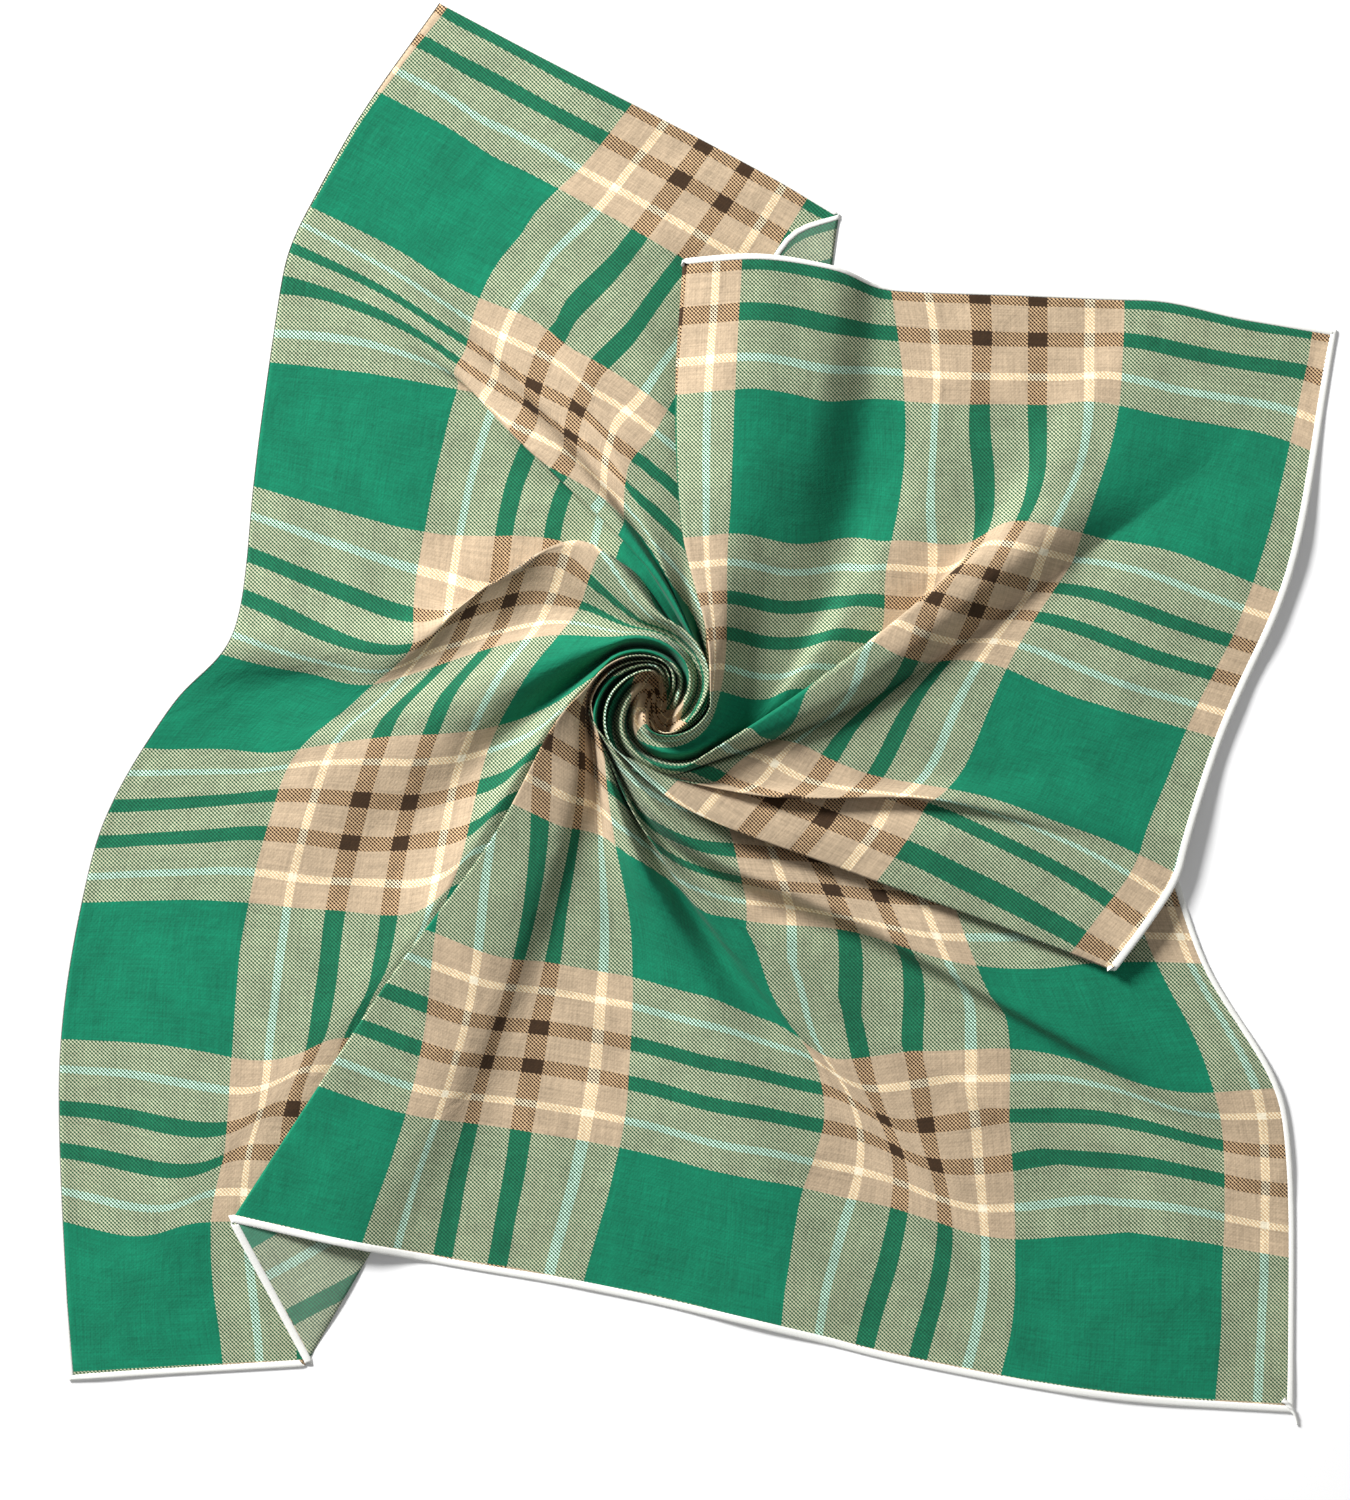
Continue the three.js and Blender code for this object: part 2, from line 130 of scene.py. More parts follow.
# The folds, clockwise from the top left corner, with these columns: name, distance of its
# end round the hem, then (x, y, height) at the hem and at three places on the way in, the
# clock angle at which it leaves the wound round of cloth, and where it meets the rosette
# (clock angle, radius, height).
FOLD_COLUMNS = ("name", "along", "hem", "outer", "middle", "inner", "cloth_angle", "rim")
FOLD_ROWS = (
    ("top left corner", 0, (-85, 273, 0.5), (-54, 184, 1), (-12, 87, 7),
     (6, 44, 11), 325, (46, 24.6, 16)),
    ("top wave", 58, (-32, 245, 3), (-21, 200, 2), (0, 106, 5),
     (13, 40, 7), 333, (57, 23.4, 8)),
    ("top flat", 117, (19, 219, 1), (21, 157, 2), (19, 90, 3),
     (18, 36, 9), 341, (67, 22.6, 13)),
    ("top pleat tip", 190, (72, 190, 1.5), (62, 133, 2), (40, 75, 3),
     (24, 30, 6), 350, (77, 22.2, 7)),
    ("top pleat lip", 212, (53.5, 184.6, 2.5), (52.5, 124.5, 3.2), (36, 70, 5),
     (24, 29, 8), 354, (80, 22.1, 9)),
    ("top pleat back", 250, (35.5, 160, 4), (36, 110, 5), (30, 63, 8),
     (24.6, 27, 11), 361, (86, 21.8, 12)),
    ("top pleat edge", 307, (9, 172, 7), (6, 118, 8), (9, 67, 13),
     (19, 27, 18), 373, (96, 21, 20)),
    ("upper right crown", 343, (35.5, 174, 9), (30, 110, 12), (25, 55, 14),
     (24, 18, 17), 384, (106, 21.5, 16)),
    ("upper right step", 390, (70.6, 169, 8), (62, 106, 9), (46, 44, 8),
     (32, 5, 8), 394, (118, 23.4, 13)),
    ("upper right foot", 418, (90, 161.5, 1), (82, 98, 1), (64, 36, 3),
     (39, -3, 8), 401, (129, 25, 14)),
    ("upper right flat", 468, (141, 159.5, 1.5), (119, 115, 2), (91, 60, 4),
     (46, -1, 8), 412, (138, 26.5, 10)),
    ("right roll crease", 503, (177.5, 158, 1), (152.5, 115, 1), (118, 54.6, 2),
     (63, -2, 4), 425, (146, 27, 7)),
    ("right roll edge", 519.5, (194, 157.6, 1.5), (148.6, 84, 5), (106.5, 43.7, 11),
     (55.8, 4.7, 15), 438, (155, 27.7, 17)),
    ("right roll top", 558, (229, 150, 1), (180.6, 93.6, 4), (132, 51.5, 10),
     (75, 4, 13), 441, (162, 28.9, 15)),
    ("top right corner", 597, (265, 145, 0.5), (208, 88.5, 2), (134, 35, 2.5),
     (79, -1, 4), 444, (170, 30, 9)),
    ("right wave", 683, (249, 55, 3), (193, 36, 4), (135, 15.6, 5),
     (67.5, -13, 8), 446.5, (182, 30.8, 13)),
    ("right slope", 769, (219.6, -16, 3), (170, -22, 4), (118, -28.5, 6),
     (50, -33, 10), 449, (195, 30, 11)),
    ("small pleat edge", 810.5, (206.7, -55.8, 4), (162, -48.4, 6), (105, -37.8, 10),
     (44, -37, 13), 450.5, (205, 28.5, 14)),
    ("small pleat crease", 823, (204, -66.7, 4), (159, -53, 5), (96.7, -36.7, 5),
     (36, -34, 7), 453, (211, 27.3, 11)),
    ("right flap slope", 848, (193, -85, 5), (149, -64.7, 6), (96.7, -50.7, 8),
     (42, -39, 9), 455, (218, 25.7, 13)),
    ("right flap edge", 873, (177.5, -105.7, 5), (135, -89, 6), (75, -66.7, 9),
     (13, -42.5, 18), 458, (225, 24.6, 19)),
    ("right flap crease", 948, (193, -33.5, 1), (137.7, -36, 1.5), (75, -34, 3),
     (17, -34, 5), 478, (234, 25.7, 6)),
    ("lower right start", 1014, (212, -96.7, 1), (151, -79, 2), (75, -60, 3),
     (12, -39, 8), 500, (242, 26, 11)),
    ("lower right crest", 1090, (246, -163, 1), (164, -132, 6), (82, -86.6, 9),
     (13, -55, 15), 506, (250, 26, 17)),
    ("lower right flat", 1131, (248.4, -202, 0.5), (171.5, -144.5, 1), (87.5, -97.5, 2),
     (7, -57.7, 6), 509, (255, 27, 8)),
    ("bottom right corner", 1205, (248, -277, 0.5), (160, -183, 3), (79, -121, 6),
     (4, -61.6, 11), 511.5, (260, 27.3, 13)),
    ("bottom right slope", 1258, (191, -273.5, 0.5), (124, -189, 2), (52, -118, 5),
     (1.5, -59.5, 9), 513.6, (261.5, 27.3, 11)),
    ("bottom valley", 1351, (95, -257.5, 0.5), (69, -167, 1), (19, -91, 3),
     (-3, -55.8, 6), 517, (264, 27.3, 8)),
    ("bottom wave", 1388, (60.5, -249, 2), (43, -184, 3), (19, -112, 6),
     (-9.8, -55.8, 13), 520, (268, 26, 16)),
    ("bottom flat", 1481, (-30, -228.5, 1), (-18, -167, 1), (-17, -101.4, 2),
     (-22, -50, 6), 525, (272, 27, 8)),
    ("bottom flap foot", 1532, (-82, -219.5, 1), (-63, -157, 1), (-41, -93, 2.5),
     (-28, -40, 8), 528, (275, 27.7, 11)),
    ("bottom flap top", 1579, (-124, -211.5, 5), (-87, -155, 5), (-54, -92, 6),
     (-32.8, -34.3, 12), 532, (279, 27.3, 14)),
    ("bottom flap edge", 1634, (-166.5, -202, 5), (-107.6, -111.5, 7), (-65, -53.8, 10),
     (-40.6, -9.8, 17), 540, (283, 27, 19)),
    ("bottom flap crease", 1702, (-136.5, -259, 1), (-84.6, -167, 2), (-49.5, -89, 3),
     (-30, -22.6, 4), 560, (298, 25, 8)),
    ("bottom left corner", 1802, (-229.3, -264.4, 0.5), (-151, -157, 2), (-96.3, -94.8, 4),
     (-45.6, -14.8, 11), 582, (312, 24.6, 15)),
    ("left valley", 1910, (-234, -152, 1), (-166.5, -100.6, 2), (-104.5, -57.3, 1),
     (-51.5, -7, 5), 595, (322, 25.7, 8)),
    ("left wave", 2007, (-221, -60.5, 1), (-151.7, -29.6, 2), (-110, -12.9, 6),
     (-47.6, 13.3, 12), 610, (334, 27.3, 16)),
    ("left flat", 2081, (-189, 0, 1), (-151, 4.7, 1), (-112, 4, 3),
     (-41.7, 35, 7), 635, (350, 29.3, 10)),
    ("left flap edge", 2124, (-165.8, 26, 4), (-103.4, 22, 7), (-61, 48, 12),
     (-28.5, 63, 16), 658, (363, 32.8, 18)),
    ("left flap crease", 2140, (-162, 41.7, 3), (-105, 35, 3), (-52.7, 41.3, 4),
     (-14.4, 53.4, 6), 661, (369, 31.2, 9)),
    ("upper left flat", 2182.5, (-158, 83.9, 1), (-89.7, 69.4, 1), (-35.5, 72, 4),
     (-8, 49.5, 8), 664, (375, 30, 11)),
    ("upper left slope", 2254, (-149.4, 147.4, 2), (-100, 125.6, 1), (-45.6, 95, 2),
     (-6.6, 51.5, 8), 667, (382, 28.9, 10)),
    ("upper left crease", 2270, (-146, 168.5, 1.5), (-92.4, 132.6, 1), (-37, 102, 3),
     (-2, 49.5, 8), 669, (387, 28, 9)),
    ("upper left flap edge", 2285.5, (-142.4, 180, 2), (-88.5, 137.3, 4), (-53.4, 99.8, 9),
     (-6.6, 55.4, 13), 672, (392, 27.3, 14)),
    ("upper left ridge", 2316.5, (-133.4, 197.7, 3), (-82.7, 145, 4), (-37.8, 99, 9),
     (-0.8, 51.5, 14), 675, (396, 26.5, 15)),
    ("upper left valley", 2346, (-119.7, 223, 1), (-78.8, 156.8, 1), (-26, 92.4, 6),
     (2, 49.5, 9), 679, (400, 25.7, 10)),
)


# How many millimetres of cloth are gathered into the inner half of a row from its outer half,
# by the row's name. Rows that aren't named lie evenly.
SLACK_ROWS = (
    ("top pleat edge", 10),
    ("upper right crown", 11),
    ("upper right step", 11),
    ("upper right foot", -2),
    ("upper right flat", 3),
    ("bottom right corner", 3),
    ("bottom right slope", -3),
    ("bottom valley", -5),
    ("bottom flap crease", -12),
    ("bottom left corner", -6),
    ("left valley", -5),
)


def smoothstep(x: np.ndarray | float) -> np.ndarray | float:
    """Eases x from 0 to 1, flat beyond both ends."""
    x = np.clip(x, 0.0, 1.0)
    return x * x * (3 - 2 * x)


def linear_colour(code: str) -> tuple[float, float, float, float]:
    """Turns an sRGB hex colour to the linear values that shaders take.

    Args:
        code: Colour such as "#1f7a5c".

    Returns:
        Linear red, green, blue and an alpha of 1.
    """
    parts = [int(code[i : i + 2], 16) / 255 for i in (1, 3, 5)]
    red, green, blue = (c / 12.92 if c <= 0.04045 else ((c + 0.055) / 1.055) ** 2.4 for c in parts)
    return red, green, blue, 1.0


@dataclass
class FoldTable:
    """The rows of the fold table as paths, with a smooth blend from each row to the next."""

    cut: Cut
    rosette: Rosette
    samples_a_span: int = 40
    turning_shares: tuple[float, ...] = (0.5, 0.75, 1.0)
    along: np.ndarray = field(init=False)
    cloth_angle: np.ndarray = field(init=False)
    slack: np.ndarray = field(init=False)
    corner: np.ndarray = field(init=False)
    folded: np.ndarray = field(init=False)
    paths: list[tuple[np.ndarray, np.ndarray]] = field(init=False)

    def __post_init__(self) -> None:
        """Reads the rows and measures their paths."""
        rows = [dict(zip(FOLD_COLUMNS, row)) for row in FOLD_ROWS]
        self.along = np.array([row["along"] for row in rows], float)
        self.cloth_angle = np.array([row["cloth_angle"] for row in rows], float)
        slack = dict(SLACK_ROWS)
        self.slack = np.array([slack.get(row["name"], 0) for row in rows], float)
        self.corner = np.isin(self.along, self.cut.corners)
        self.paths = [self.measured_path(row) for row in rows]
        self.folded = self.turned_back()

    def measured_path(self, row: dict) -> tuple[np.ndarray, np.ndarray]:
        """Runs a smooth curve through a row's places, from the rosette's rim to the hem.

        Args:
            row: One row of the table, by column name.

        Returns:
            Share of the curve's length at each sample, and the samples.
        """
        clock, radius, height = row["rim"]
        rim = (radius * math.sin(math.radians(clock)), radius * math.cos(math.radians(clock)), height)
        knots = np.array([rim, row["inner"], row["middle"], row["outer"], row["hem"]], float)
        ends = np.vstack([2 * knots[0] - knots[1], knots, 2 * knots[-1] - knots[-2]])
        u = np.linspace(0, 1, self.samples_a_span, endpoint=False)[:, None]
        spans = []
        for a, b, c, d in zip(ends, ends[1:], ends[2:], ends[3:]):
            curve = 2 * b + (c - a) * u + (2 * a - 5 * b + 4 * c - d) * u**2 + (3 * b - a - 3 * c + d) * u**3
            spans.append(curve / 2)
        samples = np.vstack([*spans, knots[-1:]])
        steps = np.linalg.norm(np.diff(samples, axis=0), axis=1)
        travelled = np.concatenate([[0], np.cumsum(steps)])
        return travelled / travelled[-1], samples

    def turned_back(self) -> np.ndarray:
        """Finds the rows at which the cloth turns back on itself.

        Returns:
            True or false for each row.
        """
        places = self.on_paths(np.array(self.turning_shares))[..., :2]
        ahead = np.roll(places, -1, 0) - places
        behind = np.roll(ahead, 1, 0)
        return ((ahead * behind).sum(-1) < 0).sum(-1) > 1

    def gaps(self) -> np.ndarray:
        """Hem length from each row to the next one."""
        return np.diff(np.append(self.along, self.along[0] + self.cut.hem_length))

    def on_paths(self, shares: np.ndarray) -> np.ndarray:
        """Places on every row's path.

        Args:
            shares: Shares of the way from the rim to the hem.

        Returns:
            Array of rows by shares by (x, y, height).
        """
        found = np.zeros((len(self.paths), len(shares), 3))
        for i, (share, samples) in enumerate(self.paths):
            for axis in range(3):
                found[i, :, axis] = np.interp(shares, share, samples[:, axis])
        return found

    def across(
        self,
        values: np.ndarray,
        row: np.ndarray,
        share: np.ndarray,
        sharpness: np.ndarray | float,
        wrap: float = 0.0,
    ) -> np.ndarray:
        """Blends values smoothly from each row to the next without overshooting any row.

        Args:
            values: One entry for each row, with any further axes.
            row: Row before each wanted column.
            share: Share of the way from that row to the next.
            sharpness: How sharply the blend turns at a corner of the cloth, from 0 to 1.
            wrap: What the values gain in one turn round the cloth.

        Returns:
            The blended values, one entry for each column.
        """
        extra = (1,) * (values.ndim - 1)
        gap = self.gaps().reshape(-1, *extra)
        following = np.concatenate([values[1:], values[:1] + wrap])
        step = (following - values) / gap
        before = np.roll(step, 1, axis=0)
        gap_before = np.roll(gap, 1, axis=0)
        heavy = 2 * gap + gap_before
        light = gap + 2 * gap_before
        with np.errstate(divide="ignore", invalid="ignore"):
            slope = np.where(step * before > 0, (heavy + light) / (heavy / before + light / step), 0.0)
        sharp = np.maximum(self.corner.reshape(-1, *extra) * sharpness, self.folded.reshape(-1, *extra))
        leaving = slope * (1 - sharp) + step * sharp
        arriving = slope * (1 - sharp) + before * sharp
        s = share.reshape(-1, *extra)
        following_row = (row + 1) % len(values)
        return (
            (2 * s**3 - 3 * s**2 + 1) * values[row]
            + (s**3 - 2 * s**2 + s) * gap[row] * leaving[row]
            + (3 * s**2 - 2 * s**3) * following[row]
            + (s**3 - s**2) * gap[row] * arriving[following_row]
        )

    def lay(self, row: np.ndarray, share: np.ndarray, shares: np.ndarray) -> tuple[np.ndarray, np.ndarray]:
        """Lays the cloth outside the rosette.

        Args:
            row: Row before each column.
            share: Share of the way to the next row.
            shares: Rings, as shares of the way from the rosette's rim to the hem.

        Returns:
            Places (columns, rings, 3) and the same points in the cut cloth (columns, rings, 2).
        """
        sharpness = (shares**3).reshape(1, -1, 1)
        laid = self.across(self.on_paths(shares), row, share, sharpness)
        rim = self.rim_in_cloth(row, share, 1.0)
        hem = self.cut.hem_point(self.along[row] + share * self.gaps()[row])
        slack = self.across(self.slack, row, share, 0.0) / np.linalg.norm(hem - rim, axis=-1)
        drawn = shares[None, :] + slack[:, None] * 4 * (shares * (1 - shares))[None, :]
        flat = rim[:, None] + (hem - rim)[:, None] * drawn[..., None]
        return laid, flat

    def rim_in_cloth(self, row: np.ndarray, share: np.ndarray, radius_share: float) -> np.ndarray:
        """Finds points of the cut cloth on a circle round the twist.

        Args:
            row: Row before each column.
            share: Share of the way to the next row.
            radius_share: Radius of the circle, where 1 is the cloth's radius at the rim.

        Returns:
            One point of the cut cloth for each column.
        """
        angle = np.radians(self.across(self.cloth_angle, row, share, 0.0, wrap=360.0))
        radius = self.rosette.cloth_radius * radius_share
        centre = np.array([self.cut.twist_from_left, self.cut.twist_from_top])
        return centre + radius * np.stack([np.sin(angle), -np.cos(angle)], -1)

    def wind(self, rim: np.ndarray, radius_share: float) -> np.ndarray:
        """Winds the cloth inside the rosette's rim.

        Args:
            rim: Places of the rim, one for each column.
            radius_share: 1 at the rim and 0 in the middle of the hollow.

        Returns:
            Places of that ring, one for each column.
        """
        r = self.rosette
        turned = np.arctan2(rim[:, 0], rim[:, 1]) + math.radians(r.turn) * (1 - radius_share)
        radius = np.hypot(rim[:, 0], rim[:, 1]) * radius_share**r.tightening
        lean = math.radians(r.lean)
        shaping = smoothstep(1 - radius_share / r.shape_reach)
        across = radius * np.sin(turned + lean) * (1 - r.squeeze * shaping)
        along = radius * np.cos(turned + lean) * (1 + r.stretch * shaping)
        crest = (rim[:, 2] - r.mean_height) * (1 - r.crest_fade * (1 - radius_share))
        wall = smoothstep((radius_share - r.hollow_starts) / (r.hollow_ends - r.hollow_starts))
        height = r.hollow_floor + (r.mean_height + crest - r.hollow_floor) * wall
        x = across * math.cos(lean) - along * math.sin(lean)
        y = across * math.sin(lean) + along * math.cos(lean)
        return np.stack([x, y, height], -1)


@dataclass
class Settling:
    """Rounds the folds, ripples the cloth a little and keeps its layers apart, in millimetres."""

    roundings: int = 2
    layer_rounds: int = 8
    lift_roundings: int = 3
    layers: int = 5
    layer_gap: float = 0.6
    gap_growth: float = 0.12
    layer_reach: float = 8.0
    cell: float = 2.2
    cells_a_row: int = 100000
    splits: tuple[int, int] = (3, 2)
    rosette_ends: tuple[float, float] = (42.0, 70.0)
    ripple_height: float = 0.45
    ripple_lengths: tuple[float, ...] = (160.0, 120.0, 90.0, 70.0, 55.0, 45.0, 38.0)
    full_ripple: float = 120.0
    bend_length: float = 0.8
    bend_depth: float = 0.8
    seed: int = 11

    def settle(
        self, laid: np.ndarray, flat: np.ndarray, lowest: np.ndarray, corners: np.ndarray
    ) -> tuple[np.ndarray, np.ndarray]:
        """Moves the points a little from where the table lays them.

        Args:
            laid: Places (columns, rings, 3), with columns in a closed round.
            flat: The same points in the cut cloth (columns, rings, 2).
            lowest: Least height of each ring's middle surface.
            corners: Numbers of the columns that end at a corner of the cloth, which stays sharp.

        Returns:
            The settled places, and the same points in the cut cloth.
        """
        now, drawn = laid, flat
        for _ in range(self.roundings):
            now, drawn = self.softened(now), self.softened(drawn)
            now[corners, -1] = laid[corners, -1]
            drawn[corners, -1] = flat[corners, -1]
        flat = drawn
        distance = np.hypot(now[..., 0], now[..., 1])
        near, far = self.rosette_ends
        outside = smoothstep((distance - near) / (far - near))
        now[..., 2] += self.ripples(flat) * self.ripple_height * outside
        now[..., 2] = np.maximum(now[..., 2], lowest[None, :])
        for _ in range(self.layer_rounds):
            lift = self.layer_lift(now, laid[..., 2], flat) * outside
            for _ in range(self.lift_roundings):
                lift = self.softened(lift[..., None])[..., 0]
            now[..., 2] += lift
        return now, flat

    @staticmethod
    def softened(values: np.ndarray) -> np.ndarray:
        """Blends every value a little with its neighbours.

        Args:
            values: Values at every point (columns, rings, values), with columns in a closed round.

        Returns:
            The blended values. The first and last ring are blended only along themselves.
        """
        around = (np.roll(values, 1, 0) + np.roll(values, -1, 0) + 2 * values) / 4
        around[:, 1:-1] = (around[:, 2:] + around[:, :-2] + 6 * around[:, 1:-1]) / 8
        return around

    def ripples(self, flat: np.ndarray) -> np.ndarray:
        """Adds up a few long soft waves over the cut cloth.

        Args:
            flat: Points in the cut cloth (columns, rings, 2).

        Returns:
            The waves' height at each point, in units of about 1.
        """
        random = np.random.default_rng(self.seed)
        total = np.zeros(flat.shape[:2])
        for length in self.ripple_lengths:
            heading = random.uniform(0, math.pi)
            phase = random.uniform(0, 2 * math.pi)
            bend = np.sin(flat[..., 1] / (self.bend_length * length) + phase) * self.bend_depth
            travel = flat[..., 0] * math.cos(heading) + flat[..., 1] * math.sin(heading)
            total += np.sin(2 * math.pi * travel / length + phase + bend) * length / self.full_ripple
        return total / total.std()

    def layer_lift(self, now: np.ndarray, order: np.ndarray, flat: np.ndarray) -> np.ndarray:
        """Finds how far each point has to rise to lie clear of the layers under it.

        Args:
            now: Places (columns, rings, 3).
            order: Heights that say which layer is meant to be on top.
            flat: The same points in the cut cloth (columns, rings, 2).

        Returns:
            The rise of each point (columns, rings).
        """
        samples, column = self.resampled(np.concatenate([now, order[..., None], flat], -1))
        cells = np.floor(samples[:, :2] / self.cell).astype(np.int64)
        cell = cells[:, 0] * self.cells_a_row + cells[:, 1]
        sequence = np.lexsort((column, cell))
        sorted_samples, sorted_cell = samples[sequence], cell[sequence]
        apart = np.linalg.norm(np.diff(sorted_samples[:, 4:6], axis=0), axis=1) > self.layer_reach
        starts = np.append(True, (np.diff(sorted_cell) != 0) | apart)
        patch = np.cumsum(starts) - 1
        size = np.bincount(patch)
        means = np.stack([np.bincount(patch, sorted_samples[:, i]) / size for i in range(6)], -1)
        stack = np.lexsort((means[:, 3], sorted_cell[starts]))
        means, patch_cell = means[stack], sorted_cell[starts][stack]
        gap = np.linalg.norm(np.diff(means[:, 4:6], axis=0), axis=1) - self.layer_reach
        same = (np.diff(patch_cell) != 0) | (gap < 0)
        gap = np.clip(self.gap_growth * gap, 0, self.layer_gap)
        rise = np.zeros(len(means))
        for _ in range(self.layers):
            needed = means[:-1, 2] + rise[:-1] + gap - means[1:, 2]
            rise[1:] = np.maximum(rise[1:], np.where(same, 0, needed))
        by_patch = np.zeros(len(means))
        by_patch[stack] = rise
        by_sample = np.zeros(len(samples))
        by_sample[sequence] = by_patch[patch]
        columns, rings = order.shape
        lift = np.zeros((columns, rings))
        lift[:, :-1] = by_sample.reshape(-1, columns, rings - 1).mean(0)
        lift[:, -1] = lift[:, -2]
        return lift

    def resampled(self, data: np.ndarray) -> tuple[np.ndarray, np.ndarray]:
        """Reads the sheet at more points than it has.

        Args:
            data: Values at every point (columns, rings, values).

        Returns:
            The values at the new points, one row each, and the column that each lies at.
        """
        columns, rings, width = data.shape
        beside = np.roll(data, -1, 0)
        along, out = self.splits
        found = []
        places = []
        number = np.repeat(np.arange(columns, dtype=float)[:, None], rings - 1, 1)
        for i in range(along):
            between = data + (beside - data) * (i / along)
            for j in range(out):
                share = j / out
                found.append(between[:, :-1] * (1 - share) + between[:, 1:] * share)
                places.append(number + i / along)
        return np.stack(found).reshape(-1, width), np.stack(places).ravel()


def add_node(tree: Tree, kind: str, settings: dict, inputs: dict, output: int | str = 0) -> Socket:
    """Adds one shader node with its settings and links.

    Args:
        tree: The material's node tree.
        kind: Blender's name of the node type, after "ShaderNode".
        settings: Values of the node's properties, by name.
        inputs: Values or sockets for the node's inputs, by number or name.
        output: Number or name of the wanted output.

    Returns:
        The wanted output.
    """
    node = tree.nodes.new(f"ShaderNode{kind}")
    for name, value in settings.items():
        setattr(node, name, value)
    for name, value in inputs.items():
        if isinstance(value, Socket):
            tree.links.new(value, node.inputs[name])
        else:
            node.inputs[name].default_value = value
    return node.outputs[output]


def set_steps(ramp: bpy.types.ColorRamp, starts: Sequence[float], colours: Sequence[tuple]) -> None:
    """Gives a colour ramp sharp steps.

    Args:
        ramp: The ramp.
        starts: Where each step starts, from 0 to 1.
        colours: Linear colour of each step.
    """
    ramp.interpolation = "CONSTANT"
    while len(ramp.elements) < len(colours):
        ramp.elements.new(0.5)
    for element, start, colour in zip(ramp.elements, starts, colours):
        element.position = start
        element.color = colour


class Side(Enum):
    """The two sides of the cloth."""

    FACE = "face"
    REVERSE = "reverse"


class Yarn(Enum):
    """The yarns of the check, with the grey value that stands for each in the shader."""

    GREEN = 0.0
    BEIGE = 0.25
    CREAM = 0.5
    BROWN = 0.75


# The stripes of one repeat, in the order in which they follow one another.
STRIPE_ORDER = (
    Yarn.GREEN,
    Yarn.BEIGE,
    Yarn.CREAM,
    Yarn.BEIGE,
    Yarn.BROWN,
    Yarn.BEIGE,
    Yarn.BROWN,
    Yarn.BEIGE,
    Yarn.CREAM,
    Yarn.BEIGE,
)

# The grey at which each yarn's colour starts, halfway from the yarn before it.
YARN_STARTS = (0.0, 0.125, 0.375, 0.625)


@dataclass(frozen=True)
class Stripes:
    """Coloured yarns of one direction of the check, as widths in millimetres that repeat."""

    start: float
    green: float
    band: tuple[float, ...]

    @property
    def repeat(self) -> float:
        """Width of one repeat."""
        return self.green + sum(self.band)

    def edges(self) -> list[float]:
        """Finds where each stripe of the repeat starts.

        Returns:
            Shares of the repeat, in the order of the stripes.
        """
        found = [0.0, self.green]
        for width in self.band[:-1]:
            found.append(found[-1] + width)
        return [edge / self.repeat for edge in found]


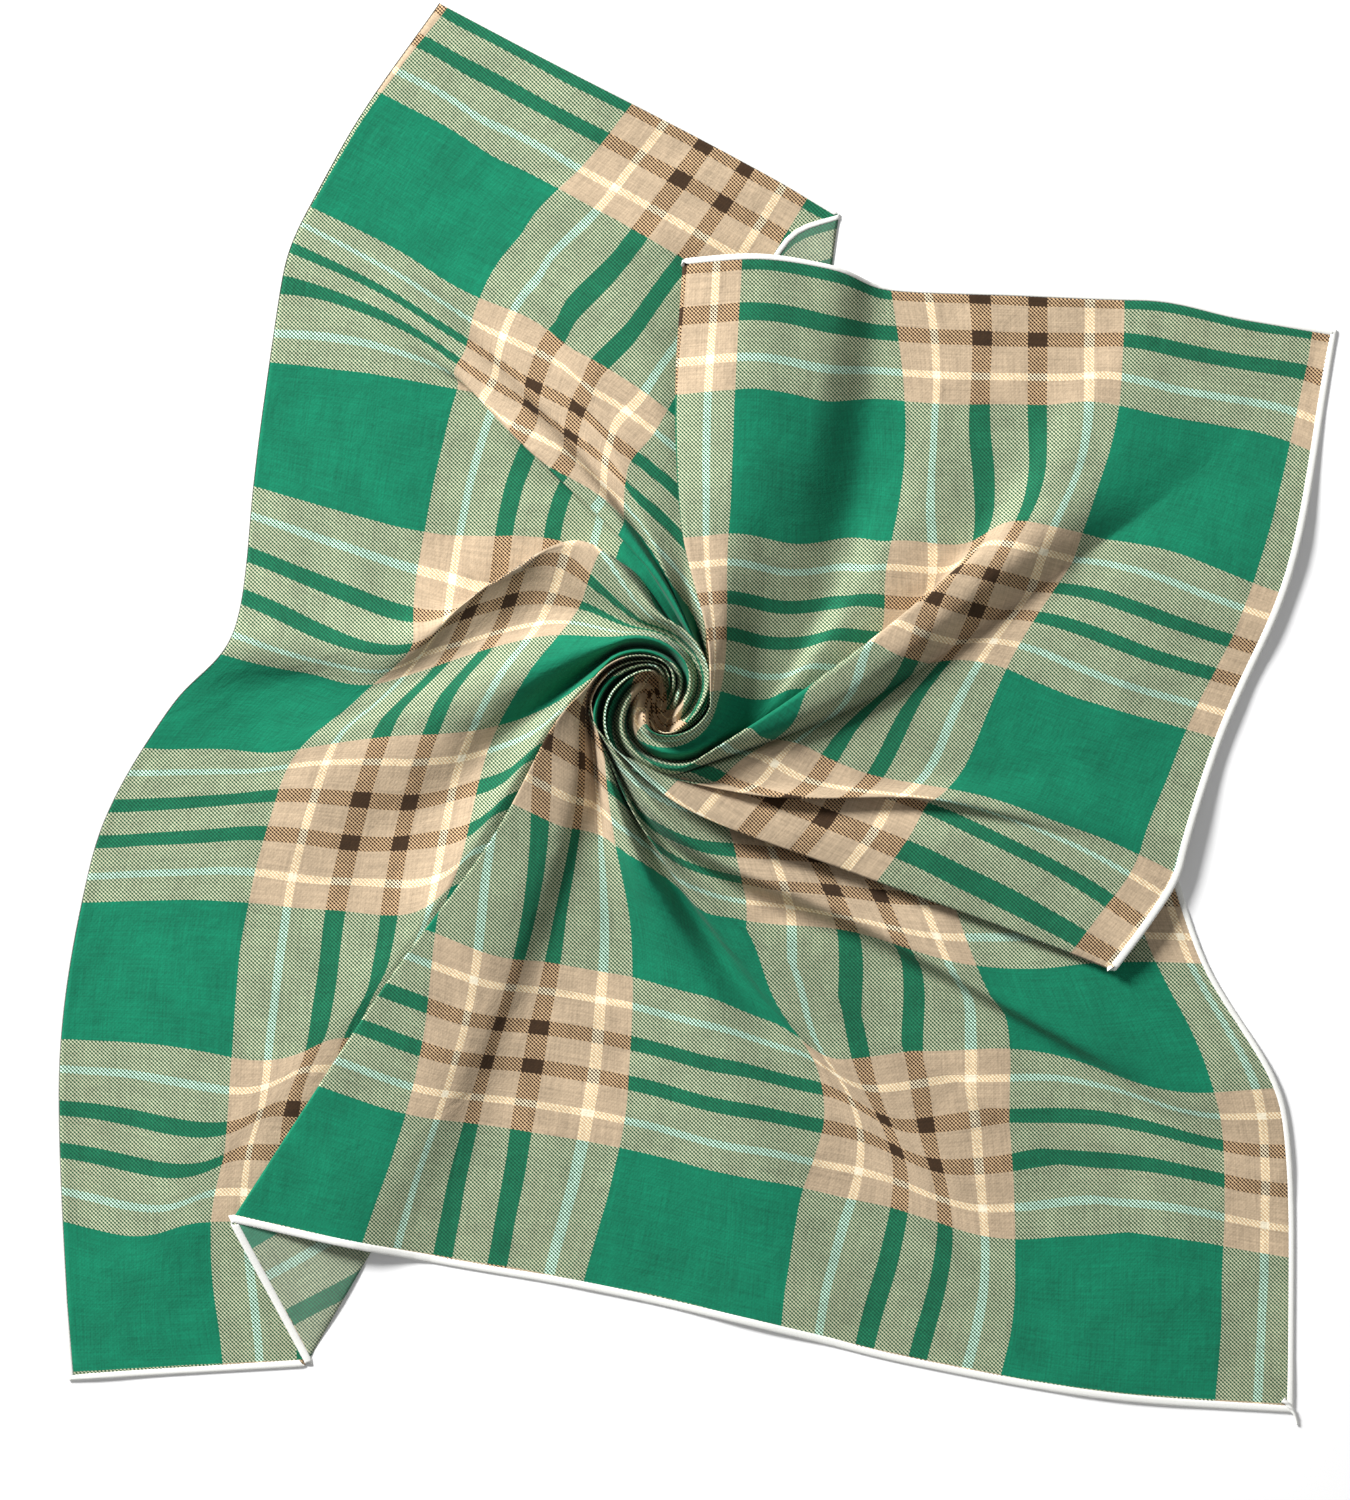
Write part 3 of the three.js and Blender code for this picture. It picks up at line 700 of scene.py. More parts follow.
@dataclass(frozen=True)
class CheckedTwill:
    """Light cotton twill, woven in a check and washed soft. Sizes are millimetres.

    Where two yarn colours cross, the twill shows them in turn as fine slanting lines. The
    real lines are 1 to 1.5 mm apart, so the wider figure is drawn, as far as the render shows
    it. The yarns are about 0.3 mm thick, too fine to show, so slubs and fibres are drawn about
    two yarns wide and specks four. The sets of four colours are for the green, beige, cream
    and brown yarns, in that order, and the two dark greens for lines where green crosses brown.
    """

    side: Side = Side.FACE
    across: Stripes = Stripes(3.9, 78.8, (13.7, 3.9, 13.7, 7.6, 13.7, 7.6, 13.7, 3.9, 11.3))
    down: Stripes = Stripes(46.0, 55.8, (10.5, 3.0, 10.9, 5.8, 10.1, 5.8, 10.9, 3.0, 10.2))
    check_skew: float = 0.030
    check_drop: float = 1.2
    wander: float = 1.6
    wander_length: float = 33.33
    twill_pitch: float = 1.5
    twill_blur: float = 0.35
    dotting: float = 0.75
    plain: tuple[str, ...] = ("#057253", "#b5a085", "#ece1c6", "#3a2817")
    with_green: tuple[str, ...] = ("#234e33", "#babf9f", "#cbebd6", "#0a5a3e")
    with_brown: tuple[str, ...] = ("#0a5a3e", "#c9a982", "#efe0be", "#2c190b")
    dark_green: tuple[str, str] = ("#065038", "#1d7350")
    washed: str = "#d5d9cf"
    wash: float = 0.1
    same_yarn: float = 0.05
    green_to_brown: float = 0.6
    slub_length: float = 22.22
    slub_width: float = 0.6667
    patch_size: float = 16.67
    speck_size: float = 1.3333
    speck_share: float = 0.8
    unevenness: tuple[float, float] = (1.4, 2.4)
    brightness: tuple[float, float] = (0.7, 1.3)
    fibre_size: float = 0.7143
    fibre_share: float = 0.8
    yarn_depth: float = 0.15
    yarn_relief: float = 0.3
    crumple_size: float = 14.29
    crumple_swirl: float = 0.6
    crumple_depth: float = 1.6
    crumple_relief: float = 0.35
    roughness: float = 0.88
    specular: float = 0.25
    sheen: float = 0.05
    sheen_roughness: float = 0.5

    def build(self) -> bpy.types.Material:
        """Makes the material.

        Returns:
            A material that reads the cloth's own millimetres from the mesh.
        """
        material = bpy.data.materials.new(f"cotton_twill_{self.side.value}")
        material.use_nodes = True
        tree = material.node_tree
        # Washed cotton is matte, with a faint bloom of fibres where it turns from the eye.
        shader = tree.nodes["Principled BSDF"]
        shader.inputs["Roughness"].default_value = self.roughness
        shader.inputs["Sheen Weight"].default_value = self.sheen
        shader.inputs["Sheen Roughness"].default_value = self.sheen_roughness
        shader.inputs["Specular IOR Level"].default_value = self.specular
        place = add_node(tree, "Attribute", {"attribute_name": "cloth_mm"}, {}, "Vector")
        # The twill is laid out from above, so that it stays even where the cloth is gathered.
        twill = self.twill(tree, add_node(tree, "TexCoord", {}, {}, "Object"))
        colour = self.unevenly_dyed(tree, place, self.check(tree, place, twill))
        if self.side is Side.REVERSE:
            fading = {0: self.wash, MIX_FIRST: colour, MIX_SECOND: linear_colour(self.washed)}
            colour = add_node(tree, "Mix", MIX_COLOURS, fading, MIX_RESULT)
        tree.links.new(colour, shader.inputs["Base Color"])
        tree.links.new(self.relief(tree, place, twill), shader.inputs["Normal"])
        return material

    def twill(self, tree: Tree, above: Socket) -> Socket:
        """Draws the slanting twill lines, broken up by a fainter slant the other way.

        Args:
            tree: The material's node tree.
            above: Place seen from above, in metres.

        Returns:
            A value that swings between 0 and 1 from line to line.
        """
        turns = -2 * math.pi / (self.twill_pitch * MM)
        right = add_node(tree, "SeparateXYZ", {}, {0: above}, "X")
        up = add_node(tree, "SeparateXYZ", {}, {0: above}, "Y")
        waves = []
        for slant in ("ADD", "SUBTRACT"):
            diagonal = add_node(tree, "Math", {"operation": slant}, {0: right, 1: up})
            turned = add_node(tree, "Math", {"operation": "MULTIPLY"}, {0: diagonal, 1: turns})
            waves.append(add_node(tree, "Math", {"operation": "SINE"}, {0: turned}))
        lines, cross = waves
        dotted = add_node(tree, "Math", {"operation": "MULTIPLY_ADD"}, {0: cross, 1: self.dotting, 2: lines})
        step = {"Value": dotted, "From Min": -self.twill_blur, "From Max": self.twill_blur}
        return add_node(tree, "MapRange", {"interpolation_type": "SMOOTHSTEP"}, step)

    def place_in_check(self, tree: Tree, place: Socket) -> tuple[Socket, Socket]:
        """Finds where a point lies in the check, whose stripes wander and slant a little.

        Args:
            tree: The material's node tree.
            place: Place in the cut cloth, in millimetres.

        Returns:
            Distance across the upright stripes, and down the level ones.
        """
        waves = {"Scale": 1 / self.wander_length, "Detail": 1.0, "Vector": place}
        drift = add_node(tree, "TexNoise", {}, waves, "Color")
        moved = []
        for axis in ("X", "Y"):
            distance = add_node(tree, "SeparateXYZ", {}, {0: place}, axis)
            share = add_node(tree, "SeparateXYZ", {}, {0: drift}, axis)
            shift = {0: share, 1: self.wander, 2: distance}
            moved.append(add_node(tree, "Math", {"operation": "MULTIPLY_ADD"}, shift))
        right, down = moved
        middle = self.wander / 2
        centred = add_node(tree, "Math", {"operation": "SUBTRACT"}, {0: right, 1: middle})
        height = add_node(tree, "SeparateXYZ", {}, {0: place}, "Y")
        slant = {0: height, 1: self.check_skew, 2: centred}
        across = add_node(tree, "Math", {"operation": "MULTIPLY_ADD"}, slant)
        return across, add_node(tree, "Math", {"operation": "ADD"}, {0: down, 1: self.check_drop - middle})

    @staticmethod
    def yarn_at(tree: Tree, distance: Socket, stripes: Stripes) -> Socket:
        """Finds which yarn runs at a distance across the stripes.

        Args:
            tree: The material's node tree.
            distance: Distance across the stripes, in millimetres.
            stripes: The stripes of that direction.

        Returns:
            The grey value that stands for the yarn.
        """
        shifted = add_node(tree, "Math", {"operation": "SUBTRACT"}, {0: distance, 1: stripes.start})
        repeats = add_node(tree, "Math", {"operation": "DIVIDE"}, {0: shifted, 1: stripes.repeat})
        share = add_node(tree, "Math", {"operation": "FRACT"}, {0: repeats})
        yarn = add_node(tree, "ValToRGB", {}, {0: share})
        greys = [(kind.value, kind.value, kind.value, 1.0) for kind in STRIPE_ORDER]
        set_steps(yarn.node.color_ramp, stripes.edges(), greys)
        return yarn

    @staticmethod
    def dyed(tree: Tree, yarn: Socket, colours: tuple[str, ...]) -> Socket:
        """Turns a yarn to its colour.

        Args:
            tree: The material's node tree.
            yarn: The grey value that stands for the yarn.
            colours: Colours of the green, beige, cream and brown yarns.

        Returns:
            The colour.
        """
        colour = add_node(tree, "ValToRGB", {}, {0: yarn})
        set_steps(colour.node.color_ramp, YARN_STARTS, [linear_colour(code) for code in colours])
        return colour

    def check(self, tree: Tree, place: Socket, twill: Socket) -> Socket:
        """Weaves the two sets of stripes together.

        Args:
            tree: The material's node tree.
            place: Place in the cut cloth, in millimetres.
            twill: The twill lines, from 0 to 1.

        Returns:
            The colour of the yarn that is on top.
        """
        across, drop = self.place_in_check(tree, place)
        upright = self.yarn_at(tree, across, self.across)
        level = self.yarn_at(tree, drop, self.down)
        low = add_node(tree, "Math", {"operation": "MINIMUM"}, {0: upright, 1: level})
        high = add_node(tree, "Math", {"operation": "MAXIMUM"}, {0: upright, 1: level})
        apart = add_node(tree, "Math", {"operation": "SUBTRACT"}, {0: high, 1: low})
        crossed = add_node(tree, "Math", {"operation": "GREATER_THAN"}, {0: apart, 1: self.same_yarn})
        darkest = add_node(tree, "Math", {"operation": "GREATER_THAN"}, {0: apart, 1: self.green_to_brown})
        has_green = add_node(tree, "Math", {"operation": "LESS_THAN"}, {0: low, 1: self.same_yarn})
        upright_is_low = add_node(tree, "Math", {"operation": "LESS_THAN"}, {0: upright, 1: level})
        turned = add_node(tree, "Math", {"operation": "SUBTRACT"}, {0: twill, 1: upright_is_low})
        on_top = add_node(tree, "Math", {"operation": "ABSOLUTE"}, {0: turned})
        shown = []
        for yarn in (low, high):
            colours = {
                0: has_green,
                MIX_FIRST: self.dyed(tree, yarn, self.with_brown),
                MIX_SECOND: self.dyed(tree, yarn, self.with_green),
            }
            shown.append(add_node(tree, "Mix", MIX_COLOURS, colours, MIX_RESULT))
        lines = {0: on_top, MIX_FIRST: shown[0], MIX_SECOND: shown[1]}
        pair = add_node(tree, "Mix", MIX_COLOURS, lines, MIX_RESULT)
        one = self.dyed(tree, upright, self.plain)
        weave = {0: crossed, MIX_FIRST: one, MIX_SECOND: pair}
        woven = add_node(tree, "Mix", MIX_COLOURS, weave, MIX_RESULT)
        first, second = (linear_colour(code) for code in self.dark_green)
        greens = {0: twill, MIX_FIRST: first, MIX_SECOND: second}
        dark = add_node(tree, "Mix", MIX_COLOURS, greens, MIX_RESULT)
        choice = {0: darkest, MIX_FIRST: woven, MIX_SECOND: dark}
        return add_node(tree, "Mix", MIX_COLOURS, choice, MIX_RESULT)

    def unevenly_dyed(self, tree: Tree, place: Socket, colour: Socket) -> Socket:
        """Adds slubs along both yarn directions, specks and a faint patchiness of the dye.

        Args:
            tree: The material's node tree.
            place: Place in the cut cloth, in millimetres.
            colour: The even colour.

        Returns:
            The uneven colour.
        """
        along, across = 1 / self.slub_length, 1 / self.slub_width
        streaks = []
        for scale in ((along, across, 1.0), (across, along, 1.0)):
            stretched = add_node(tree, "Mapping", {}, {"Scale": scale, "Vector": place})
            slubs = {"Scale": 1.0, "Detail": 3.0, "Vector": stretched}
            streaks.append(add_node(tree, "TexNoise", {}, slubs, "Fac"))
        soft = {"Scale": 1 / self.patch_size, "Detail": 4.0, "Vector": place}
        patches = add_node(tree, "TexNoise", {}, soft, "Fac")
        fine = {"Scale": 1 / self.speck_size, "Detail": 2.0, "Vector": place}
        specks = add_node(tree, "TexNoise", {}, fine, "Fac")
        both = add_node(tree, "Math", {"operation": "ADD"}, {0: streaks[0], 1: streaks[1]})
        total = add_node(tree, "Math", {"operation": "ADD"}, {0: both, 1: patches})
        speckled = {0: specks, 1: self.speck_share, 2: total}
        total = add_node(tree, "Math", {"operation": "MULTIPLY_ADD"}, speckled)
        reach = {
            "Value": total,
            "From Min": self.unevenness[0],
            "From Max": self.unevenness[1],
            "To Min": self.brightness[0],
            "To Max": self.brightness[1],
        }
        value = add_node(tree, "MapRange", {}, reach)
        return add_node(tree, "HueSaturation", {}, {"Value": value, "Color": colour})

    def relief(self, tree: Tree, place: Socket, twill: Socket) -> Socket:
        """Raises the twill lines and gives the cloth its faint crumple.

        Args:
            tree: The material's node tree.
            place: Place in the cut cloth, in millimetres.
            twill: The twill lines, from 0 to 1.

        Returns:
            The direction that the surface faces.
        """
        fine = {"Scale": 1 / self.fibre_size, "Detail": 3.0, "Vector": place}
        fibres = add_node(tree, "TexNoise", {}, fine, "Fac")
        height = {0: fibres, 1: self.fibre_share, 2: twill}
        yarns = add_node(tree, "Math", {"operation": "MULTIPLY_ADD"}, height)
        raised = {"Strength": self.yarn_relief, "Distance": self.yarn_depth * MM, "Height": yarns}
        threads = add_node(tree, "Bump", {}, raised)
        swirl = {
            "Scale": 1 / self.crumple_size,
            "Detail": 3.0,
            "Distortion": self.crumple_swirl,
            "Vector": place,
        }
        soft = add_node(tree, "TexNoise", {}, swirl, "Fac")
        crumple = {
            "Strength": self.crumple_relief,
            "Distance": self.crumple_depth * MM,
            "Height": soft,
            "Normal": threads,
        }
        return add_node(tree, "Bump", {}, crumple)


@dataclass(frozen=True)
class OverlockThread:
    """Spun polyester thread, wound round the cut edge by an overlocker. Sizes are millimetres.

    Its fibres are hundredths of a millimetre thick, so the shading draws them as wider clumps.
    """

    colour: str = "#f4f4ef"
    shadow: str = "#d9d9d4"
    fibre_size: float = 0.45455
    fibre_depth: float = 0.1
    fibre_relief: float = 0.4
    roughness: float = 0.8
    specular: float = 0.3
    sheen: float = 0.2

    def build(self) -> bpy.types.Material:
        """Makes the material.

        Returns:
            A soft white with fine fibres.
        """
        material = bpy.data.materials.new("overlock_thread")
        material.use_nodes = True
        tree = material.node_tree
        # Spun thread is a soft, fluffy white: its loose fibres hide the polyester's own shine.
        shader = tree.nodes["Principled BSDF"]
        shader.inputs["Roughness"].default_value = self.roughness
        shader.inputs["Sheen Weight"].default_value = self.sheen
        shader.inputs["Specular IOR Level"].default_value = self.specular
        place = add_node(tree, "TexCoord", {}, {}, "Object")
        fine = {"Scale": 1 / (self.fibre_size * MM), "Detail": 2.0, "Vector": place}
        fibres = add_node(tree, "TexNoise", {}, fine, "Fac")
        first, second = linear_colour(self.shadow), linear_colour(self.colour)
        shades = {0: fibres, MIX_FIRST: first, MIX_SECOND: second}
        white = add_node(tree, "Mix", MIX_COLOURS, shades, MIX_RESULT)
        raised = {"Strength": self.fibre_relief, "Distance": self.fibre_depth * MM, "Height": fibres}
        tree.links.new(white, shader.inputs["Base Color"])
        tree.links.new(add_node(tree, "Bump", {}, raised), shader.inputs["Normal"])
        return material


@dataclass(frozen=True)
class PaleCard:
    """Smooth white card, which scatters light evenly with hardly any shine."""

    colour: str = "#f7f7f7"
    roughness: float = 0.9
    specular: float = 0.1

    def build(self) -> bpy.types.Material:
        """Makes the material.

        Returns:
            An even white.
        """
        material = bpy.data.materials.new("pale_paper")
        material.use_nodes = True
        shader = material.node_tree.nodes["Principled BSDF"]
        shader.inputs["Base Color"].default_value = linear_colour(self.colour)
        shader.inputs["Roughness"].default_value = self.roughness
        shader.inputs["Specular IOR Level"].default_value = self.specular
        return material


def new_mesh(name: str, points: np.ndarray, faces: np.ndarray | list) -> bpy.types.Object:
    """Makes a smooth-shaded mesh object.

    Args:
        name: The piece's name.
        points: Vertices in metres.
        faces: Corner numbers, one row a face.

    Returns:
        The object, linked to the scene.
    """
    mesh = bpy.data.meshes.new(name)
    mesh.from_pydata(points.tolist(), [], [list(face) for face in faces])
    mesh.polygons.foreach_set("use_smooth", [True] * len(mesh.polygons))
    mesh.update()
    piece = bpy.data.objects.new(name, mesh)
    bpy.context.scene.collection.objects.link(piece)
    return piece


@dataclass
class BandanaSheet:
    """The square of cloth in its folds: a thin closed sheet with a face and a reverse."""

    cut: Cut = field(default_factory=Cut)
    rosette: Rosette = field(default_factory=Rosette)
    settling: Settling = field(default_factory=Settling)
    columns: int = 430
    fewest_columns_a_fold: int = 5
    crowding: float = 1.6
    outer_rings: int = 79
    rosette_rings: int = 30
    hub: float = 0.05
    height_gain: float = 1.5
    sink: float = 1.2
    softness: float = 1.6
    clearance: float = 0.02
    edge_height: float = 0.55
    spacing_shares: tuple[float, ...] = (0.0, 0.2, 0.5, 0.8, 1.0)
    laid: np.ndarray = field(init=False)
    flat: np.ndarray = field(init=False)
    hem_along: np.ndarray = field(init=False)

    def shape(self) -> None:
        """Works out where every point of the cloth lies, in millimetres from the twist."""
        table = FoldTable(self.cut, self.rosette)
        row, share = self.column_places(table)
        self.hem_along = table.along[row] + share * table.gaps()[row]
        hem_share = self.cut.hem_width / min(self.cut.twist_from_left, self.cut.twist_from_top)
        shares = np.append(np.linspace(0, 1 - hem_share, self.outer_rings), 1.0)
        outer, outer_flat = table.lay(row, share, shares)
        radii = np.linspace(self.hub, 1, self.rosette_rings, endpoint=False)
        wound = np.stack([table.wind(outer[:, 0], radius) for radius in radii], 1)
        wound_flat = np.stack([table.rim_in_cloth(row, share, radius) for radius in radii], 1)
        laid = np.concatenate([wound, outer], 1)
        flat = np.concatenate([wound_flat, outer_flat], 1)
        laid[..., 2] = self.cut.thickness / 2 + self.onto_table(laid[..., 2])
        lowest = np.full(laid.shape[1], self.cut.thickness / 2 + self.clearance)
        lowest[-2:] = self.edge_height
        corners = np.flatnonzero(np.isin(self.hem_along, self.cut.corners))
        self.laid, self.flat = self.settling.settle(laid, flat, lowest, corners)

    def column_places(self, table: FoldTable) -> tuple[np.ndarray, np.ndarray]:
        """Shares the columns out among the folds by how far apart their rows lie.

        Args:
            table: The fold table.

        Returns:
            The row before each column, and the share of the way to the next row.
        """
        places = table.on_paths(np.array(self.spacing_shares))
        apart = np.linalg.norm(np.roll(places, -1, 0) - places, axis=-1).mean(1)
        wanted = self.columns * apart / apart.sum()
        counts = np.maximum(np.round(wanted), self.fewest_columns_a_fold).astype(int)
        while counts.sum() > self.columns:
            counts[np.argmax(counts)] -= 1
        row = np.repeat(np.arange(len(counts)), counts)
        share = np.concatenate([np.arange(count) / count for count in counts])
        starts, ends = table.folded[row], np.roll(table.folded, -1)[row]
        share = np.where(starts & ends, smoothstep(share), share)
        share = np.where(starts & ~ends, share**self.crowding, share)
        share = np.where(ends & ~starts, 1 - (1 - share) ** self.crowding, share)
        return row, share

    def onto_table(self, height: np.ndarray) -> np.ndarray:
        """Lowers the folds so that their low parts lie on the table, with a soft transition."""
        raised = self.height_gain * (height - self.sink)
        return np.logaddexp(0, self.softness * raised) / self.softness

    def normals(self) -> np.ndarray:
        """Finds the directions square to the cloth.

        Returns:
            A unit vector for every point (columns, rings, 3).
        """
        p = self.laid
        following = np.roll(p, -1, 0)
        diagonal_out = following[:, 1:] - p[:, :-1]
        diagonal_in = p[:, 1:] - following[:, :-1]
        quad = np.cross(diagonal_out, diagonal_in)
        total = np.zeros_like(p)
        for part in (quad, np.roll(quad, 1, 0)):
            total[:, :-1] += part
            total[:, 1:] += part
        return total / np.maximum(np.linalg.norm(total, axis=-1, keepdims=True), TINY)

    def build(self, offset: np.ndarray) -> bpy.types.Object:
        """Makes the closed sheet.

        Args:
            offset: Place of the twist's centre in the frame, in millimetres.

        Returns:
            The cloth, with the face in its first material slot and the reverse in its second.
        """
        half = self.cut.thickness / 2
        normals = self.normals()
        columns, rings, _ = self.laid.shape
        sides = []
        for sign in (1, -1):
            surface = (self.laid + sign * half * normals).reshape(-1, 3)
            pole = self.laid[:, 0].mean(0) + [0, 0, sign * half]
            sides.append(np.vstack([surface, pole]))
        points = (np.vstack(sides) + offset) * MM
        column = np.arange(columns)[:, None] * rings
        beside = np.roll(np.arange(columns), -1)[:, None] * rings
        ring = np.arange(rings - 1)[None, :]
        quads = np.stack([column + ring, beside + ring, beside + ring + 1, column + ring + 1], -1)
        quads = quads.reshape(-1, 4)
        count = columns * rings + 1
        edge_a, edge_b = column[:, 0] + rings - 1, beside[:, 0] + rings - 1
        strip = np.stack([edge_a, edge_b, edge_b + count, edge_a + count], -1)
        hub = np.full(columns, count - 1)
        fan = np.stack([hub, beside[:, 0], column[:, 0]], -1)
        faces = [*quads.tolist(), *fan.tolist()]
        face_count = len(faces)
        faces += (quads[:, ::-1] + count).tolist() + (fan[:, ::-1] + count).tolist()
        faces += strip.tolist()
        mesh = bpy.data.meshes.new(CLOTH_NODE + "_woven")
        mesh.from_pydata(points.tolist(), [], faces)
        kinds = np.zeros(len(faces), int)
        kinds[face_count : 2 * face_count] = 1
        mesh.polygons.foreach_set("material_index", kinds)
        mesh.polygons.foreach_set("use_smooth", [True] * len(faces))
        self.mark_cloth_places(mesh)
        piece = bpy.data.objects.new("printed_cloth", mesh)
        bpy.context.scene.collection.objects.link(piece)
        return piece

    def mark_cloth_places(self, mesh: bpy.types.Mesh) -> None:
        """Writes each vertex's place in the cut cloth, in millimetres, for the woven check.

        Args:
            mesh: The closed sheet.
        """
        centre = [self.cut.twist_from_left, self.cut.twist_from_top]
        one_side = np.vstack([self.flat.reshape(-1, 2), centre])
        both = np.vstack([one_side, one_side])
        values = np.column_stack([both, np.zeros(len(both))])
        attribute = mesh.attributes.new("cloth_mm", "FLOAT_VECTOR", "POINT")
        attribute.data.foreach_set("vector", values.ravel())

    def dress(self, piece: bpy.types.Object) -> None:
        """Puts the face and the reverse on the cloth and says what the piece is.

        Args:
            piece: The cloth.
        """
        for side in (Side.FACE, Side.REVERSE):
            piece.data.materials.append(CheckedTwill(side).build())
        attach(piece, "root")
        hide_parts(CLOTH_NODE)


# How many millimetres of the overlocked edge show from above, by distance round the hem from
# the top left corner. Along the left side and the top left it has rolled under.
EDGE_COLUMNS = ("along", "shown")
EDGE_ROWS = (
    (0, 0.8),
    (160, 0.9),
    (200, 2.2),
    (330, 2.6),
    (420, 1.5),
    (570, 1.6),
    (610, 3.1),
    (870, 3.2),
    (1014, 2.4),
    (1190, 2.5),
    (1220, 3.2),
    (1700, 3.2),
    (1790, 2.6),
    (1830, 1.2),
    (2330, 0.8),
)


@dataclass
class OverlockedEdge:
    """The thread that an overlocker wraps round the cut edge, as a soft ridged band.

    Sizes are millimetres. The slant is how far a stitch lags across the band, in radians, and
    the flatness is the power that squares the band's round section.
    """

    thickness: float = 1.0
    stitch: float = 1.7
    stitch_slant: float = 1.3
    step: float = 0.8
    sides: int = 10
    ridge: float = 0.13
    overhang: float = 0.2
    flatness: float = 0.7
    clearance: float = 0.05

    def build(self, sheet: BandanaSheet, offset: np.ndarray) -> bpy.types.Object:
        """Wraps the band round the sheet's hem.

        Args:
            sheet: The shaped sheet.
            offset: Place of the twist's centre in the frame, in millimetres.

        Returns:
            The band.
        """
        edge, inward, upward, travelled, width = self.run_along(sheet)
        count = len(edge)
        angle = np.linspace(0, 2 * math.pi, self.sides, endpoint=False)
        phase = 2 * math.pi * travelled[:, None] / self.stitch
        slant = phase + self.stitch_slant * np.cos(angle)[None, :]
        ridge = self.ridge * np.cos(slant) / 2
        across = width[:, None] * (0.5 - 0.5 * np.cos(angle))[None, :] - self.overhang
        across -= ridge * np.cos(angle)[None, :]
        squared = np.sign(np.sin(angle)) * np.abs(np.sin(angle)) ** self.flatness
        raised = squared[None, :] * (self.thickness / 2 + ridge)
        points = edge[:, None] + inward[:, None] * across[..., None] + upward[:, None] * raised[..., None]
        points[..., 2] = np.maximum(points[..., 2], self.clearance)
        points = (points.reshape(-1, 3) + offset) * MM
        here = np.arange(count)[:, None] * self.sides + np.arange(self.sides)[None, :]
        along = np.roll(here, -1, 0)
        quads = np.stack([here, np.roll(here, -1, 1), np.roll(along, -1, 1), along], -1).reshape(-1, 4)
        return new_mesh("overlocked_edge", points, quads)

    def run_along(self, sheet: BandanaSheet) -> tuple[np.ndarray, ...]:
        """Follows the hem in small even steps.

        Args:
            sheet: The shaped sheet.

        Returns:
            Edge points, directions into the cloth, directions out of its face, the distance
            travelled at each point, and the width that shows there.
        """
        hem = sheet.laid[:, -1]
        within = sheet.laid[:, -3]
        closed = np.vstack([hem, hem[:1]])
        lengths = np.linalg.norm(np.diff(closed, axis=0), axis=1)
        travelled = np.concatenate([[0], np.cumsum(lengths)])
        count = int(travelled[-1] / self.step)
        stations = np.linspace(0, travelled[-1], count, endpoint=False)
        edge = self.sampled(closed, travelled, stations)
        inner = self.sampled(np.vstack([within, within[:1]]), travelled, stations)
        forward = np.roll(edge, -2, 0) - np.roll(edge, 2, 0)
        upward = np.cross(inner - edge, forward)
        inward = np.cross(forward, upward)
        rows = [dict(zip(EDGE_COLUMNS, row)) for row in EDGE_ROWS]
        along, shown = ([row[column] for row in rows] for column in EDGE_COLUMNS)
        width = np.interp(sheet.hem_along, along, shown, period=sheet.cut.hem_length)
        width = np.interp(stations, travelled, np.append(width, width[0]))
        return edge, self.unit(inward), self.unit(upward), stations, width

    @staticmethod
    def unit(directions: np.ndarray) -> np.ndarray:
        """Scales directions to unit length."""
        return directions / np.maximum(np.linalg.norm(directions, axis=1, keepdims=True), TINY)

    @staticmethod
    def sampled(points: np.ndarray, travelled: np.ndarray, stations: np.ndarray) -> np.ndarray:
        """Reads points at given distances along their run."""
        return np.stack([np.interp(stations, travelled, points[:, axis]) for axis in range(3)], -1)

    def dress(self, piece: bpy.types.Object) -> None:
        """Puts the thread on the band and says what the piece is.

        Args:
            piece: The band.
        """
        piece.data.materials.append(OverlockThread().build())
        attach(piece, "root")


